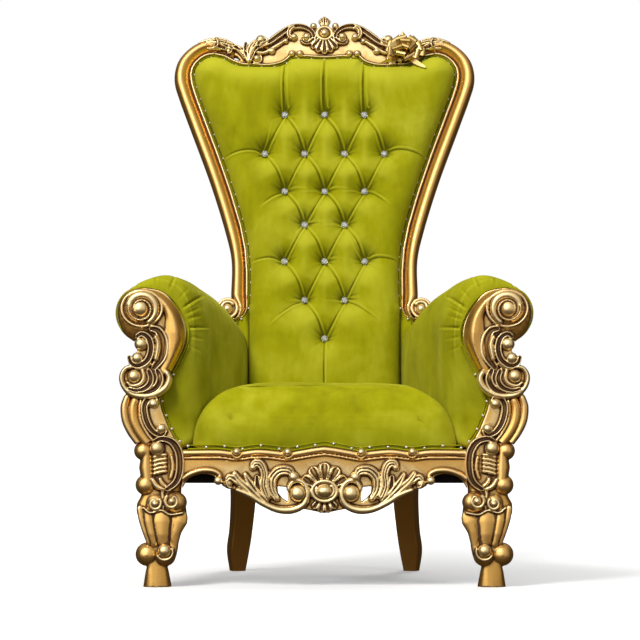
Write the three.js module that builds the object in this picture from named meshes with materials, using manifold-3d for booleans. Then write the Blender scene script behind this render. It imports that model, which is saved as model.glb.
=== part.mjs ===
// A carved and gilded throne armchair: a leaning, waisted back with a pierced crest, scrolled arm
// fronts, bracket-carved front legs, a shell apron, plain rear legs and velvet upholstery.
// Millimetres, +Z up, the front towards -Y, the origin on the floor under the middle of the chair.

import * as THREE from 'three';
import Module from 'manifold-3d';
import { mergeVertices } from 'three/addons/utils/BufferGeometryUtils.js';

const wasm = await Module();
wasm.setup();

// ---------------------------------------------------------------- driving dimensions

const FIT = 0.3; // clearance between neighbouring pieces
const FRONT_PLANE = -400; // Y of the faces of the front legs
const BACK_LEAN = 11; // degrees that the back leans away from upright
const BACK_FOOT = { y: 140, z: 450 }; // where the back's own frame starts, at seat level
const SIDE_TAPER = 21; // degrees that the side rails close towards the back

const RAIL_BOTTOM = 300;
const SIDE_RAIL_TOP = 385;
const REAR_RAIL_TOP = 377;
const REAR_RAIL_BACK = 146;
const RAIL_THICKNESS = 28;
const FRONT_RAIL_HALF = 380.6; // half the clear width between the front legs
const FRONT_RAIL_THICKNESS = 36;
const LEG_TOP = 384.7;
const LEG_DEPTH = 66;
const ARM_PANEL_BACK = -26; // rear face of the carved arm panels, from the front plane

const FRAME_BACK = -25; // rear face of the back's frame
const JOINT_HALF = 319; // where the crest rail meets the stiles
const OPENING_FOOT = -60; // lower edge of the back cushion, along the lean
const OPENING_HALF = 221.7; // half the opening's width between the posts
const CUSHION_BACK = -6;
const CUSHION_RIM = 8;
const CUSHION_CROWN = 42;
const TUFT_DEPTH = 25;
const TUFT_RADIUS = 46; // of a button's pit, at the crown
const TUFT_PITCH = 115;
const TUFT_ROWS = [
  { height: 879, count: 3 },
  { height: 762, count: 4 },
  { height: 650, count: 3 },
  { height: 551, count: 2 },
  { height: 443, count: 3 },
  { height: 329, count: 2 },
  { height: 217, count: 1 },
];
const BUTTON_RADIUS = 10;
const BUTTON_HEIGHT = 8;

const SEAT_BOTTOM = 377.4;
const SEAT_CROWN = 538;
const PAD_BOTTOM = 385.4;

// ---------------------------------------------------------------- materials

const finish = (color, roughness, metalness) => (
  new THREE.MeshStandardMaterial({ color, roughness, metalness })
);
const GOLD = { color: 0xc8964a, roughness: 0.34, metalness: 0.85 };
const DARK_GOLD = { color: 0x8a6428, roughness: 0.45, metalness: 0.7 };
const VELVET = { color: 0x93960f, roughness: 0.85, metalness: 0 };
const CRYSTAL = { color: 0xe8ecf0, roughness: 0.05, metalness: 0.1 };
const RIBBON = { color: 0xb8923a, roughness: 0.22, metalness: 0.9 };
const DUST_CLOTH = { color: 0x17120d, roughness: 0.95, metalness: 0 };

// ---------------------------------------------------------------- closed solids

function signedVolume(points, triangles) {
  let volume = 0;
  for (let i = 0; i < triangles.length; i += 3) {
    const [a, b, c] = [points[triangles[i]], points[triangles[i + 1]], points[triangles[i + 2]]];
    volume += a.dot(new THREE.Vector3().crossVectors(b, c));
  }
  return volume;
}

/** A closed geometry with its faces pointing out, whichever way round its triangles were made. */
function closedGeometry(points, triangles) {
  const geometry = new THREE.BufferGeometry();
  const coordinates = points.flatMap((p) => [p.x, p.y, p.z]);
  geometry.setAttribute('position', new THREE.Float32BufferAttribute(coordinates, 3));
  geometry.setIndex(signedVolume(points, triangles) < 0 ? triangles.toReversed() : triangles);
  return geometry;
}

/** The same surface with shared vertices, nothing but positions and no triangle without area. */
function plain(geometry) {
  const copy = geometry.clone();
  copy.deleteAttribute('normal');
  copy.deleteAttribute('uv');
  const merged = mergeVertices(copy, 1e-4);
  const corners = merged.index.array;
  const kept = [];
  for (let i = 0; i < corners.length; i += 3) {
    const [a, b, c] = corners.slice(i, i + 3);
    if (a !== b && b !== c && c !== a) kept.push(a, b, c);
  }
  merged.setIndex(kept);
  return merged;
}

function toManifold(geometry) {
  const vertProperties = Float32Array.from(geometry.attributes.position.array);
  const triVerts = Uint32Array.from(geometry.index.array);
  return new wasm.Manifold(new wasm.Mesh({ numProp: 3, vertProperties, triVerts }));
}

function fromManifold(solid) {
  const mesh = solid.getMesh();
  const geometry = new THREE.BufferGeometry();
  geometry.setAttribute('position', new THREE.Float32BufferAttribute(mesh.vertProperties, 3));
  geometry.setIndex(Array.from(mesh.triVerts));
  return geometry;
}

function join(geometries) {
  return fromManifold(geometries.map(toManifold).reduce((whole, piece) => whole.add(piece)));
}

function cut(geometry, cutters) {
  const whole = toManifold(geometry);
  return fromManifold(cutters.map(toManifold).reduce((rest, cutter) => rest.subtract(cutter), whole));
}

function mirrored(geometry) {
  const copy = geometry.clone();
  copy.scale(-1, 1, 1);
  copy.setIndex(Array.from(copy.index.array).reverse());
  return copy;
}

const bothSides = (geometries) => [...geometries, ...geometries.map(mirrored)];

/** Triangles that close a ring of points, with their corners in the ring's own direction. */
function capTriangles(ring) {
  const normal = new THREE.Vector3();
  ring.forEach((p, i) => normal.add(new THREE.Vector3().crossVectors(p, ring[(i + 1) % ring.length])));
  const across = new THREE.Vector3().subVectors(ring[1], ring[0]).normalize();
  const up = new THREE.Vector3().crossVectors(normal.normalize(), across).normalize();
  const flat = ring.map((p) => new THREE.Vector2(p.dot(across), p.dot(up)));
  return THREE.ShapeUtils.triangulateShape(flat, []).flatMap(([a, b, c]) => {
    const [first, second] = [flat[b].clone().sub(flat[a]), flat[c].clone().sub(flat[a])];
    return first.cross(second) > 0 ? [a, b, c] : [a, c, b];
  });
}

/** A skin over rings of equally many points, closed at both ends. */
function loft(rings) {
  const sides = rings[0].length;
  const last = (rings.length - 1) * sides;
  const triangles = [];
  for (let i = 0; i < last; i += sides) {
    for (let j = 0; j < sides; j++) {
      const a = i + j;
      const b = i + ((j + 1) % sides);
      triangles.push(a, b, a + sides, b, b + sides, a + sides);
    }
  }
  triangles.push(...capTriangles(rings[0]).reverse());
  triangles.push(...capTriangles(rings.at(-1)).map((i) => last + i));
  return closedGeometry(rings.flat(), triangles);
}

/** A flat board with the given outline, between two levels of z. */
function board(outline, back, front) {
  const shape = new THREE.Shape(outline.map(([x, y]) => new THREE.Vector2(x, y)));
  const geometry = new THREE.ExtrudeGeometry(shape, { depth: front - back, bevelEnabled: false });
  geometry.translate(0, 0, back);
  return plain(geometry);
}

function block(x0, x1, y0, y1, z0, z1) {
  const geometry = new THREE.BoxGeometry(x1 - x0, y1 - y0, z1 - z0);
  geometry.translate((x0 + x1) / 2, (y0 + y1) / 2, (z0 + z1) / 2);
  return plain(geometry);
}

// ---------------------------------------------------------------- curves and carving

/** The value at t, from 0 to 1, of a quantity given at equal intervals. */
function along(values, t) {
  if (!Array.isArray(values)) return values;
  const place = t * (values.length - 1);
  const i = Math.min(Math.floor(place), values.length - 2);
  return THREE.MathUtils.lerp(values[i], values[i + 1], place - i);
}

/** Points on a smooth curve through the given ones, with the same number of steps in every span. */
function smooth(points, stepsPerSpan) {
  const places = points.map(([x, y]) => new THREE.Vector3(x, y, 0));
  const curve = new THREE.CatmullRomCurve3(places, false, 'catmullrom');
  return curve.getPoints((points.length - 1) * stepsPerSpan).map((p) => [p.x, p.y]);
}

/** Points of a spiral that winds in from the outer radius to the inner one. */
function spiral(x, y, outer, inner, from, sweep, count = 7) {
  return Array.from({ length: count }, (_, i) => {
    const t = i / (count - 1);
    const angle = THREE.MathUtils.degToRad(from + sweep * t);
    const radius = THREE.MathUtils.lerp(outer, inner, t);
    return [x + radius * Math.cos(angle), y + radius * Math.sin(angle)];
  });
}

const RIB = [[-1, -1], [1, -1], [0, 1]];

/** A carved stem or leaf rib: a ridged section swept along a curve in the plane of the relief. */
function stem(path, halfWidths, { depths = 11, level = 0, steps = path.length - 1 } = {}) {
  const curve = new THREE.CatmullRomCurve3(path.map(([x, y, z = 0]) => new THREE.Vector3(x, y, z)));
  const rings = [];
  for (let i = 0; i <= steps; i++) {
    const t = i / steps;
    const centre = curve.getPoint(t);
    const heading = curve.getTangent(t);
    const across = new THREE.Vector2(-heading.y, heading.x).normalize().multiplyScalar(along(halfWidths, t));
    const depth = along(depths, t);
    rings.push(RIB.map(([a, d]) => new THREE.Vector3(
      centre.x + a * across.x,
      centre.y + a * across.y,
      centre.z + level + d * depth,
    )));
  }
  return loft(rings);
}

const SMALL_BALL = 16; // balls under this radius have twenty faces

function ball(x, y, radius, level = 0, squash = 1) {
  const geometry = radius < SMALL_BALL
    ? new THREE.IcosahedronGeometry(radius * 1.08)
    : new THREE.SphereGeometry(radius, 6, 4);
  geometry.scale(1, 1, squash);
  geometry.translate(x, y, level);
  return plain(geometry);
}

/** An oval dome or ring boss, standing on the relief. */
function oval(x, y, radiusX, radiusY, height, level) {
  const geometry = new THREE.SphereGeometry(1, 8, 4);
  geometry.scale(radiusX, radiusY, height);
  geometry.translate(x, y, level);
  return plain(geometry);
}

/** The lobes of a shell, spread evenly between two directions. */
function shell(x, y, inner, outer, from, to, lobes, { depths = [8, 12, 7], level = 2 } = {}) {
  const spread = THREE.MathUtils.degToRad(Math.abs(to - from) / lobes);
  return Array.from({ length: lobes }, (_, i) => {
    const angle = THREE.MathUtils.degToRad(from + ((i + 0.5) * (to - from)) / lobes);
    const reach = outer * (1 - 0.1 * Math.abs((2 * i + 1) / lobes - 1));
    const at = (radius) => [x + radius * Math.cos(angle), y + radius * Math.sin(angle)];
    const width = (radius) => radius * Math.tan(spread / 2) * 1.15;
    const shoulder = reach * 0.85;
    const widths = [width(inner), width(shoulder), width(reach) * 0.4];
    return stem([at(inner), at(shoulder), at(reach)], widths, { depths, level });
  });
}

/** A volute: a spiral band that winds in to a ball. */
function volute(x, y, radius, from, sweep, { band = radius * 0.24, level = 4, depths = 10 } = {}) {
  const path = spiral(x, y, radius - band, radius * 0.6, from, sweep);
  return [
    stem(path, [band, band, band * 0.6], { level, depths, steps: 6 }),
    ball(x, y, radius * 0.52, level + 2, 0.9),
  ];
}

// ---------------------------------------------------------------- front frame, seen from the front

/** A six-sided ring at one height of a leg, with its front corners taken off. */
function legRing([height, x0, x1, depth]) {
  const [front, back, chamfer] = [2, 2 - depth, depth * 0.25];
  return [
    [x0 + chamfer, front], [x1 - chamfer, front], [x1, front - chamfer],
    [x1, back], [x0, back], [x0, front - chamfer],
  ].map(([x, z]) => new THREE.Vector3(x, height, z));
}

function frontLeg() {
  const core = [
    [0, 411, 484, 62], [56, 418, 474, 52], [68, 403, 482, 60], [118, 398, 474, 62],
    [160, 386, 486, 74], [196, 368, 503, 88], [224, 373, 501, 88], [250, 384, 488, 76],
    [290, 381, 488, LEG_DEPTH], [LEG_TOP, 381, 488, LEG_DEPTH],
  ];
  const flutes = [[470, 450], [440, 434], [408, 416]].map(([top, foot]) =>
    stem([[top, 205], [foot, 122]], [13, 6], { depths: [9, 7] }));
  const gadroons = [342, 324, 306].map((height) =>
    stem([[454, height - 3], [422, height + 4]], [7, 6], { depths: 10 }));
  const bracketScroll = [[455, 386], [414, 386], [392, 350], [392, 300], [422, 268]];
  return cut(join([
    loft(core.map(legRing)),
    ...flutes,
    ...gadroons,
    stem(bracketScroll, [4, 9, 9, 7], { level: 4 }),
    ball(446, 368, 19, 6, 0.8),
    ball(480, 357, 22, -14),
    ball(478, 273, 25, -14),
    ...volute(452, 226, 20, 100, 300),
    ...volute(405, 232, 21, 80, -300),
    ball(473, 88, 29, -20),
    ball(428, 92, 23, -8),
    ball(428, 97, 15, 12, 0.8),
  ]), [block(300, 600, LEG_TOP, 450, -200, 200)]);
}

/** Outline of the carved arm panel, from its inner foot around the great scroll. */
function armOutline() {
  const inner = smooth([
    [391, 385], [404, 402], [419, 432], [436, 478], [437, 512], [412, 562], [383, 618], [367, 662],
    [371, 706], [399, 756], [436, 789], [486, 799],
  ], 1);
  const roll = smooth([[486, 799], [528, 785], [551, 752], [552, 714], [534, 680], [506, 658]], 1).slice(1);
  const outer = smooth([
    [500, 630], [512, 603], [508, 588], [530, 584], [541, 562], [533, 535], [514, 518], [532, 512],
    [543, 482], [540, 446], [523, 410], [500, 385],
  ], 1);
  return [...inner, ...roll, ...outer];
}

function armFront() {
  const greatScroll = [
    oval(487, 743, 57, 50, 14, 0),
    stem(spiral(489, 743, 50, 26, 60, 400, 9), [6, 6, 5], { level: 7, depths: [9, 12, 10] }),
    ball(492, 742, 19, 10, 0.8),
  ];
  const smoothRidge = stem(
    [[462, 783], [412, 742], [391, 680], [402, 614], [428, 550]],
    [10, 20, 24, 22, 12],
    { depths: [8, 13, 14, 8] },
  );
  const upperScrolls = [
    stem([[500, 664], [474, 668], [466, 630], [484, 597], [512, 594], [518, 618]],
      [5, 7, 7, 5], { level: 4 }),
    stem([[458, 682], [436, 674], [428, 634], [446, 588]], [6, 10, 9, 6], { level: 6 }),
    ball(487, 650, 13, 6),
    ball(498, 612, 13, 6),
  ];
  const leafCup = [
    stem([[510, 590], [534, 568], [520, 530], [480, 517], [438, 526], [411, 570]],
      [6, 8, 9, 7], { level: 4 }),
    ball(507, 564, 17, 6),
    stem([[474, 575], [478, 533]], [7, 5], { level: 7 }),
    stem([[446, 576], [448, 535]], [7, 5], { level: 6 }),
  ];
  const reeds = [
    stem([[520, 508], [531, 470], [520, 424], [495, 390]], [8, 11, 10, 7], { level: 0 }),
    stem([[492, 504], [502, 466], [490, 420], [464, 392]], [8, 11, 10, 7], { level: 2 }),
  ];
  const innerScroll = [
    stem([[450, 496], [468, 494], [468, 450], [448, 414], [428, 410]], [6, 8, 8, 6], { level: 5 }),
    ball(453, 491, 13, 7),
    ball(433, 422, 15, 7),
  ];
  const carved = [...greatScroll, smoothRidge, ...upperScrolls, ...leafCup, ...reeds, ...innerScroll];
  const behind = block(300, 600, 300, 900, -200, ARM_PANEL_BACK);
  return cut(join([board(armOutline(), ARM_PANEL_BACK, 1), ...carved]), [
    behind, block(300, 600, 300, SIDE_RAIL_TOP, -200, 200),
  ]);
}

/** Half outline of the front rail: its waved top, the arch beside the leg and the apron's lower edge. */
function railOutline() {
  const half = [
    [0, 376], [30, 372], [64, 366], [98, 361], [134, 365], [180, 368], [234, 362], [285, 367], // waved top
    [FRONT_RAIL_HALF, 366], [FRONT_RAIL_HALF, 262],
    [362, 289], [330, 301], [300, 298], [281, 284], [272, 270], // arch
    [258, 262], [225, 258], [196, 243], [160, 219], [128, 206], [91, 200], [60, 208], [26, 202], [0, 197],
  ];
  return [...half, ...half.slice(1, -1).reverse().map(([x, y]) => [-x, y])];
}

function frontRail() {
  const piercing = [[97, 267], [126, 268], [125, 250], [112, 234], [96, 226]];
  const leaves = [
    stem([[80, 292], [95, 308], [122, 306], [137, 286], [135, 256], [114, 228], [86, 210], [58, 212]],
      [7, 10, 10, 8, 7], { level: 5 }),
    stem([[194, 318], [180, 330], [164, 312], [158, 262], [122, 216]], [6, 9, 10, 9, 7], { level: 5 }),
    stem([[213, 306], [196, 266], [146, 222]], [5, 10, 7], { level: 4 }),
    stem([[244, 308], [222, 272], [176, 238]], [5, 11, 7], { level: 3 }),
    stem([[264, 268], [260, 290], [232, 272], [196, 250]], [6, 9, 8, 5], { level: 3 }),
  ];
  const half = [
    ...volute(74, 252, 27, -90, 330, { level: 6, depths: 11 }),
    ...leaves,
    ball(285, 284, 13, 2),
    ball(98, 359, 12, 0),
    ball(234, 360, 12, 0),
    stem([[277, 284], [280, 301], [300, 311], [330, 312], [360, 302], [380, 288]],
      [5, 6, 6, 6], { level: -4 }),
    stem([[0, 358], [43, 351], [92, 343], [180, 351], [238, 343], [290, 349], [378, 347]], 4,
      { level: -5, depths: 8 }),
  ];
  const carved = join([
    board(railOutline(), -FRONT_RAIL_THICKNESS, -2),
    ...bothSides(half),
    ...shell(0, 262, 30, 69, 12, 168, 5),
    ...shell(0, 256, 30, 60, 225, 315, 3),
    oval(0, 256, 37, 32, 14, 2),
    oval(0, 256, 24, 19, 20, 6),
  ]);
  const holes = bothSides([board(piercing, -60, 60)]);
  const behind = block(-500, 500, 100, 500, -200, -FRONT_RAIL_THICKNESS);
  const ends = bothSides([block(FRONT_RAIL_HALF, 500, 100, 500, -200, 200)]);
  return cut(carved, [...holes, behind, ...ends]);
}

// ---------------------------------------------------------------- the back's frame, seen square on

// Rows of the moulded stile from its foot to the crest joint: outer edge, then inner edge.
const STILE_FOOT_ROW = [[264, 316], [234, 300]];
const STILE_ROWS = [
  [[268, 345], [219, 345]], [[267, 448], [221, 450]], [[286, 539], [238, 553]], [[331, 685], [286, 710]],
  [[390, 846], [345, 872]], [[424, 940], [376, 958]], [[437, 990], [385, 1005]],
];
const SHOULDER_ROWS = [
  [[437, 990], [385, 1005]], [[429, 1040], [377, 1033]], [[402, 1078], [358, 1053]],
  [[362, 1105], [340, 1062]], [[JOINT_HALF, 1114], [JOINT_HALF, 1065]],
];
const CREST_UNDERSIDE = [
  [JOINT_HALF, 1065], [288, 1057], [246, 1038], [150, 1035], [118, 1043], [92, 1059], [0, 1058],
];

const SIDE_STEPS = 2;
const stileRows = [...STILE_ROWS.slice(0, -1), ...SHOULDER_ROWS];
const outerEdge = smooth(stileRows.map(([outer]) => outer), SIDE_STEPS);
const innerEdge = smooth(stileRows.map(([, inner]) => inner), SIDE_STEPS);
const widestRow = (STILE_ROWS.length - 1) * SIDE_STEPS;
const crestEdge = smooth(CREST_UNDERSIDE, 1);

// The opening of the frame: up one side to its widest row, then over to the middle of the crest.
const openingSide = [
  [OPENING_HALF, OPENING_FOOT],
  [OPENING_HALF, 140],
  ...innerEdge.slice(0, widestRow + 1),
];
const openingTop = [...innerEdge.slice(widestRow), ...crestEdge.slice(1)];

// Section of the stile from its outer edge (0) to its inner edge (1): hollow, roll, cove and bead.
const STILE_SECTION = [[0, FRAME_BACK], [0, 14], [0.3, 29], [0.7, 12], [0.9, 17], [1, FRAME_BACK]];

function stileRing(outer, inner) {
  return STILE_SECTION.map(([across, level]) => {
    const x = THREE.MathUtils.lerp(outer[0], inner[0], across);
    return new THREE.Vector3(x, THREE.MathUtils.lerp(outer[1], inner[1], across), level);
  });
}

/** Height along the lean at which a point of the back's frame stands at a given height off the floor. */
function heightOnLean(worldHeight, level) {
  const lean = THREE.MathUtils.degToRad(BACK_LEAN);
  return (worldHeight - BACK_FOOT.z - level * Math.sin(lean)) / Math.cos(lean);
}

/** The stile's lower part behind the arm pad, standing on the rear leg. */
function backPost() {
  const corners = [[222, FRAME_BACK], [266, FRAME_BACK], [266, 12], [222, 12]];
  return loft([
    corners.map(([x, z]) => new THREE.Vector3(x, heightOnLean(REAR_RAIL_TOP + FIT, z), z)),
    corners.map(([x, z]) => new THREE.Vector3(x, 330, z)),
  ]);
}

/** Acanthus carved over the joint at each shoulder. */
function shoulderLeaves() {
  return [
    stem([[384, 1090], [340, 1107], [298, 1102], [268, 1088]], [4, 10, 9, 5], { level: 16, depths: 14 }),
    stem([[362, 1088], [290, 1084]], [5, 9], { level: 16, depths: 13 }),
  ];
}

const beyondJoint = block(JOINT_HALF - FIT / 2, 700, 1020, 1400, -200, 200);
const insideJoint = block(-700, JOINT_HALF + FIT / 2, 1020, 1400, -200, 200);

function backStile() {
  const gap = (point, towards) => {
    const step = new THREE.Vector2(towards[0] - point[0], towards[1] - point[1]).setLength(FIT + 0.1);
    return [point[0] + step.x, point[1] + step.y];
  };
  const rows = [STILE_FOOT_ROW, ...outerEdge.map((outer, i) => [outer, gap(innerEdge[i], outer)])];
  const moulding = loft(rows.map(([outer, inner]) => stileRing(outer, inner)));
  const disc = new THREE.CylinderGeometry(32, 32, 40, 10);
  disc.rotateX(Math.PI / 2).translate(284, 312, -2);
  return cut(join([
    moulding,
    backPost(),
    plain(disc),
    stem(spiral(284, 312, 26, 14, 200, -330), [6, 5], { level: 17, depths: 9 }),
    ball(284, 312, 13, 18),
    ...shoulderLeaves(),
  ]), [insideJoint]);
}

/** Half outline of the crest rail's ground, behind its carving. */
function crestOutline() {
  const under = crestEdge.map(([x, y]) => [x, y - 2]);
  const over = [
    [0, 1150], [34, 1146], [58, 1150], [82, 1151], [106, 1138], [132, 1118],
    [160, 1096], [196, 1080], [236, 1076], [262, 1093], [290, 1106], [JOINT_HALF, 1114],
  ];
  return [...under, ...over];
}

function crestRail() {
  const half = [
    ...volute(53, 1120, 23, 100, 330, { level: 14, depths: 12 }),
    stem([[30, 1132], [48, 1147], [74, 1149], [112, 1127], [150, 1102], [192, 1088]],
      [6, 9, 10, 10, 8], { level: 14, depths: 14 }),
    stem([[98, 1140], [106, 1124], [90, 1108]], [6, 9, 8], { level: 20, depths: 11 }),
    ball(32, 1152, 10, 6),
    ball(153, 1076, 10, 18),
    ball(196, 1052, 11, 16),
    ball(84, 1068, 12, 14),
    stem([[196, 1066], [160, 1076], [116, 1104]], [6, 8, 6], { level: 15, depths: 12 }),
    ball(186, 1110, 15, 12),
    stem([[221, 1040], [240, 1076], [281, 1082]], [6, 9, 7], { level: 16, depths: 13 }),
    stem([[220, 1040], [222, 1102]], [9, 6], { level: 18, depths: 12 }),
    stem([[216, 1040], [206, 1076], [178, 1088]], [6, 8, 6], { level: 15, depths: 12 }),
    ...shoulderLeaves(),
  ];
  const ground = board(crestOutline(), FRAME_BACK + 3, 10);
  const piercings = [
    [[274, 1056], [268, 1066], [254, 1062], [242, 1049], [256, 1050]],
    [[206, 1070], [192, 1080], [172, 1086], [164, 1084], [178, 1075], [194, 1072]],
  ].map((outline) => board(outline, -60, 60));
  const carved = join([
    ...bothSides([ground, ...half]),
    ...shell(0, 1128, 14, 58, 205, 335, 5, { level: 15, depths: [7, 12, 7] }),
    ...shell(0, 1134, 6, 47, 50, 130, 3, { level: 11, depths: [9, 11, 6] }),
    oval(0, 1128, 22, 19, 14, 18),
    ball(0, 1128, 13, 24),
  ]);
  const opening = loft([openingRing(-90), openingRing(90)]).translate(0, FIT + 0.1, 0);
  return cut(carved, [opening, ...bothSides([...piercings, beyondJoint])]);
}

// ---------------------------------------------------------------- upholstery

/** The outline of the frame's opening, drawn in towards its middle by the given shares. */
function openingRing(level, acrossShare = 1, upShare = 1) {
  const middle = 500;
  const half = [...openingSide, ...openingTop.slice(1)];
  const around = [...half, ...half.slice(0, -1).reverse().map(([x, y]) => [-x, y])];
  return around.map(([x, y]) => new THREE.Vector3(x * acrossShare, middle + (y - middle) * upShare, level));
}

/** A crowned pad that fills the frame's opening, with a pit for each button. */
function backCushion() {
  const crown = CUSHION_RIM + CUSHION_CROWN;
  const pad = loft([
    openingRing(CUSHION_BACK),
    openingRing(CUSHION_RIM),
    openingRing(crown, 0.86, 0.92),
  ]);
  return cut(pad, tufts().map(({ x, y }) => tuftPit(x, y)));
}

/** Where the buttons are: rows that alternate, so that the pleats between them make diamonds. */
function tufts() {
  return TUFT_ROWS.flatMap(({ height, count }, row) => Array.from({ length: count }, (_, column) => (
    { row, column, x: (column - (count - 1) / 2) * TUFT_PITCH, y: height }
  )));
}

const TUFT_FLOOR = CUSHION_RIM + CUSHION_CROWN - TUFT_DEPTH;

function tuftPit(x, y) {
  const floor = BUTTON_RADIUS + 3;
  const pit = new THREE.CylinderGeometry(2 * TUFT_RADIUS - floor, floor, 2 * TUFT_DEPTH, 5);
  pit.rotateX(Math.PI / 2).translate(x, y, TUFT_FLOOR + TUFT_DEPTH);
  return plain(pit);
}

/** A faceted crystal button: a low cone with a flat table. */
function crystalButton() {
  const profile = [[0, 0], [BUTTON_RADIUS, 2.5], [BUTTON_RADIUS * 0.55, BUTTON_HEIGHT], [0, BUTTON_HEIGHT]];
  const geometry = new THREE.LatheGeometry(profile.map(([r, h]) => new THREE.Vector2(r, h)), 6);
  return plain(geometry.rotateX(Math.PI / 2));
}

/** The fabric-covered panel that closes the frame from behind, standing on the rear rail. */
function backPanel() {
  const [front, back] = [CUSHION_BACK - 2, FRAME_BACK + 2];
  return loft([back, front].map((level) => openingRing(level).map((p) => {
    const foot = p.y <= OPENING_FOOT ? heightOnLean(REAR_RAIL_TOP + FIT, level) : p.y;
    return new THREE.Vector3(p.x, foot, level);
  })));
}

/** Arm pad: a rolled top that drops and draws in towards the back. */
function armPad() {
  // Sections in X and Z at the arm panel and at the back's frame, from the inner foot over the roll.
  const frontSection = [
    [374, PAD_BOTTOM], [344, 459], [340, 600], [341, 700], [352, 768], [380, 814], [420, 833], [466, 829],
    [518, 798], [547, 768], [553, 735], [540, 692], [506, 662], [482, 640], [476, 500], [476, PAD_BOTTOM],
  ];
  const rearSection = [
    [224, PAD_BOTTOM], [222, 459], [222, 560], [223, 630], [227, 668], [237, 692], [252, 704], [275, 706],
    [296, 698], [308, 684], [308, 668], [300, 652], [290, 642], [285, 628], [282, 500], [282, PAD_BOTTOM],
  ];
  const frontY = FRONT_PLANE - ARM_PANEL_BACK + FIT;
  const rearGap = 31;
  const lean = THREE.MathUtils.degToRad(BACK_LEAN);
  const bow = 27;
  const stations = [0, 0.1, 0.3, 0.5, 0.7, 0.87, 1];
  return loft(stations.map((t) => frontSection.map(([x, z], i) => {
    const [rearX, rearZ] = rearSection[i];
    const crest = THREE.MathUtils.smoothstep(z, 480, 760) * bow * Math.sin(Math.PI * t);
    const rearY = BACK_FOOT.y + (rearZ - BACK_FOOT.z) * Math.tan(lean) - rearGap / Math.cos(lean);
    const level = new THREE.Vector3(x, frontY, z).lerp(new THREE.Vector3(rearX, rearY, rearZ), t);
    return level.setZ(level.z + crest);
  })));
}

/** Seat: a deep crowned cushion between the arm pads, square-faced in front, raked behind like the back. */
function seatCushion() {
  const profile = [ // Y at the foot, crown height, half width at the foot, half width at the crown's edge
    [-393, 452, 352, 322], [-396, 470, 356, 322], [-388, 506, 360, 326], [-366, 527, 362, 330],
    [-300, 535, 342, 318], [-150, SEAT_CROWN, 298, 282], [0, 534, 252, 240], [74, 520, 222, 212],
  ];
  return loft(profile.map(([y, crown, foot, edge], i) => {
    const rake = i === profile.length - 1 ? Math.tan(THREE.MathUtils.degToRad(BACK_LEAN)) : 0;
    const shoulder = THREE.MathUtils.lerp(SEAT_BOTTOM, crown, 0.66);
    const half = [
      [foot, SEAT_BOTTOM], [(foot + edge) / 2 + 2, (SEAT_BOTTOM + shoulder) / 2], [edge, shoulder],
      [edge * 0.86, crown - 14], [edge * 0.6, crown - 4],
    ];
    const otherHalf = half.map(([x, z]) => [-x, z]).reverse();
    return [...half, [0, crown], ...otherHalf].map(([x, z]) => (
      new THREE.Vector3(x, y + rake * (z - SEAT_BOTTOM), z)
    ));
  }));
}

// ---------------------------------------------------------------- seat frame and rear legs

const taper = THREE.MathUtils.degToRad(SIDE_TAPER);
const rearLegTop = { x: 244, y: 131, half: 28 };
const REAR_LEG_TURN = 17; // degrees that the sabre part faces inwards
const REAR_BLOCK_FOOT = 300;

/** A plain sabre leg that faces inwards, below a block turned to stand parallel to the side rail. */
function rearLeg() {
  const rows = [ // height, X, Y, half the width
    [0, 251, 268, 19], [60, 249, 256, 27], [126, 240, 234, 28], [221, 233, 196, 30], [270, 236, 172, 29],
    [REAR_BLOCK_FOOT, 238, 154, 29], [REAR_RAIL_TOP, rearLegTop.x, rearLegTop.y, rearLegTop.half],
  ];
  return loft(rows.map(([z, x, y, half]) => {
    const turn = THREE.MathUtils.degToRad(z < REAR_BLOCK_FOOT ? -REAR_LEG_TURN : SIDE_TAPER);
    return [[-half, -half], [half, -half], [half, half], [-half, half]].map(([a, b]) => new THREE.Vector3(
      x + a * Math.cos(turn) - b * Math.sin(turn),
      y + a * Math.sin(turn) + b * Math.cos(turn),
      z,
    ));
  }));
}

function sideRail() {
  const heading = new THREE.Vector2(Math.sin(taper), -Math.cos(taper));
  const across = new THREE.Vector2(heading.y, -heading.x).multiplyScalar(RAIL_THICKNESS / 2);
  const start = new THREE.Vector2(rearLegTop.x, rearLegTop.y).addScaledVector(heading, rearLegTop.half + 2);
  const frontY = FRONT_PLANE + LEG_DEPTH - 2 + FIT;
  const edges = [1, -1].map((side) => {
    const rear = start.clone().addScaledVector(across, side);
    const front = rear.clone().addScaledVector(heading, (frontY - rear.y) / heading.y);
    return [rear, front];
  });
  const plan = [edges[0][0], edges[0][1], edges[1][1], edges[1][0]];
  return loft([RAIL_BOTTOM, SIDE_RAIL_TOP].map((z) => plan.map(({ x, y }) => new THREE.Vector3(x, y, z))));
}

function rearRail() {
  return block(-206, 206, REAR_RAIL_BACK - RAIL_THICKNESS, REAR_RAIL_BACK, RAIL_BOTTOM, REAR_RAIL_TOP);
}

/** The dark board and cloth that close the seat from below. */
function dustCover() {
  const [frontY, cornerY, rearY] = [-362, -328, 92];
  const half = [[372, frontY], [372, cornerY], [402, cornerY], [256, rearY]];
  const outline = [...half, ...half.toReversed().map(([x, y]) => [-x, y])];
  return loft([276, RAIL_BOTTOM - FIT].map((z) => outline.map(([x, y]) => new THREE.Vector3(x, y, z))));
}

// ---------------------------------------------------------------- ribbon bow

const BOW = { x: 235, y: 1088, level: 33.2 };

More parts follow.
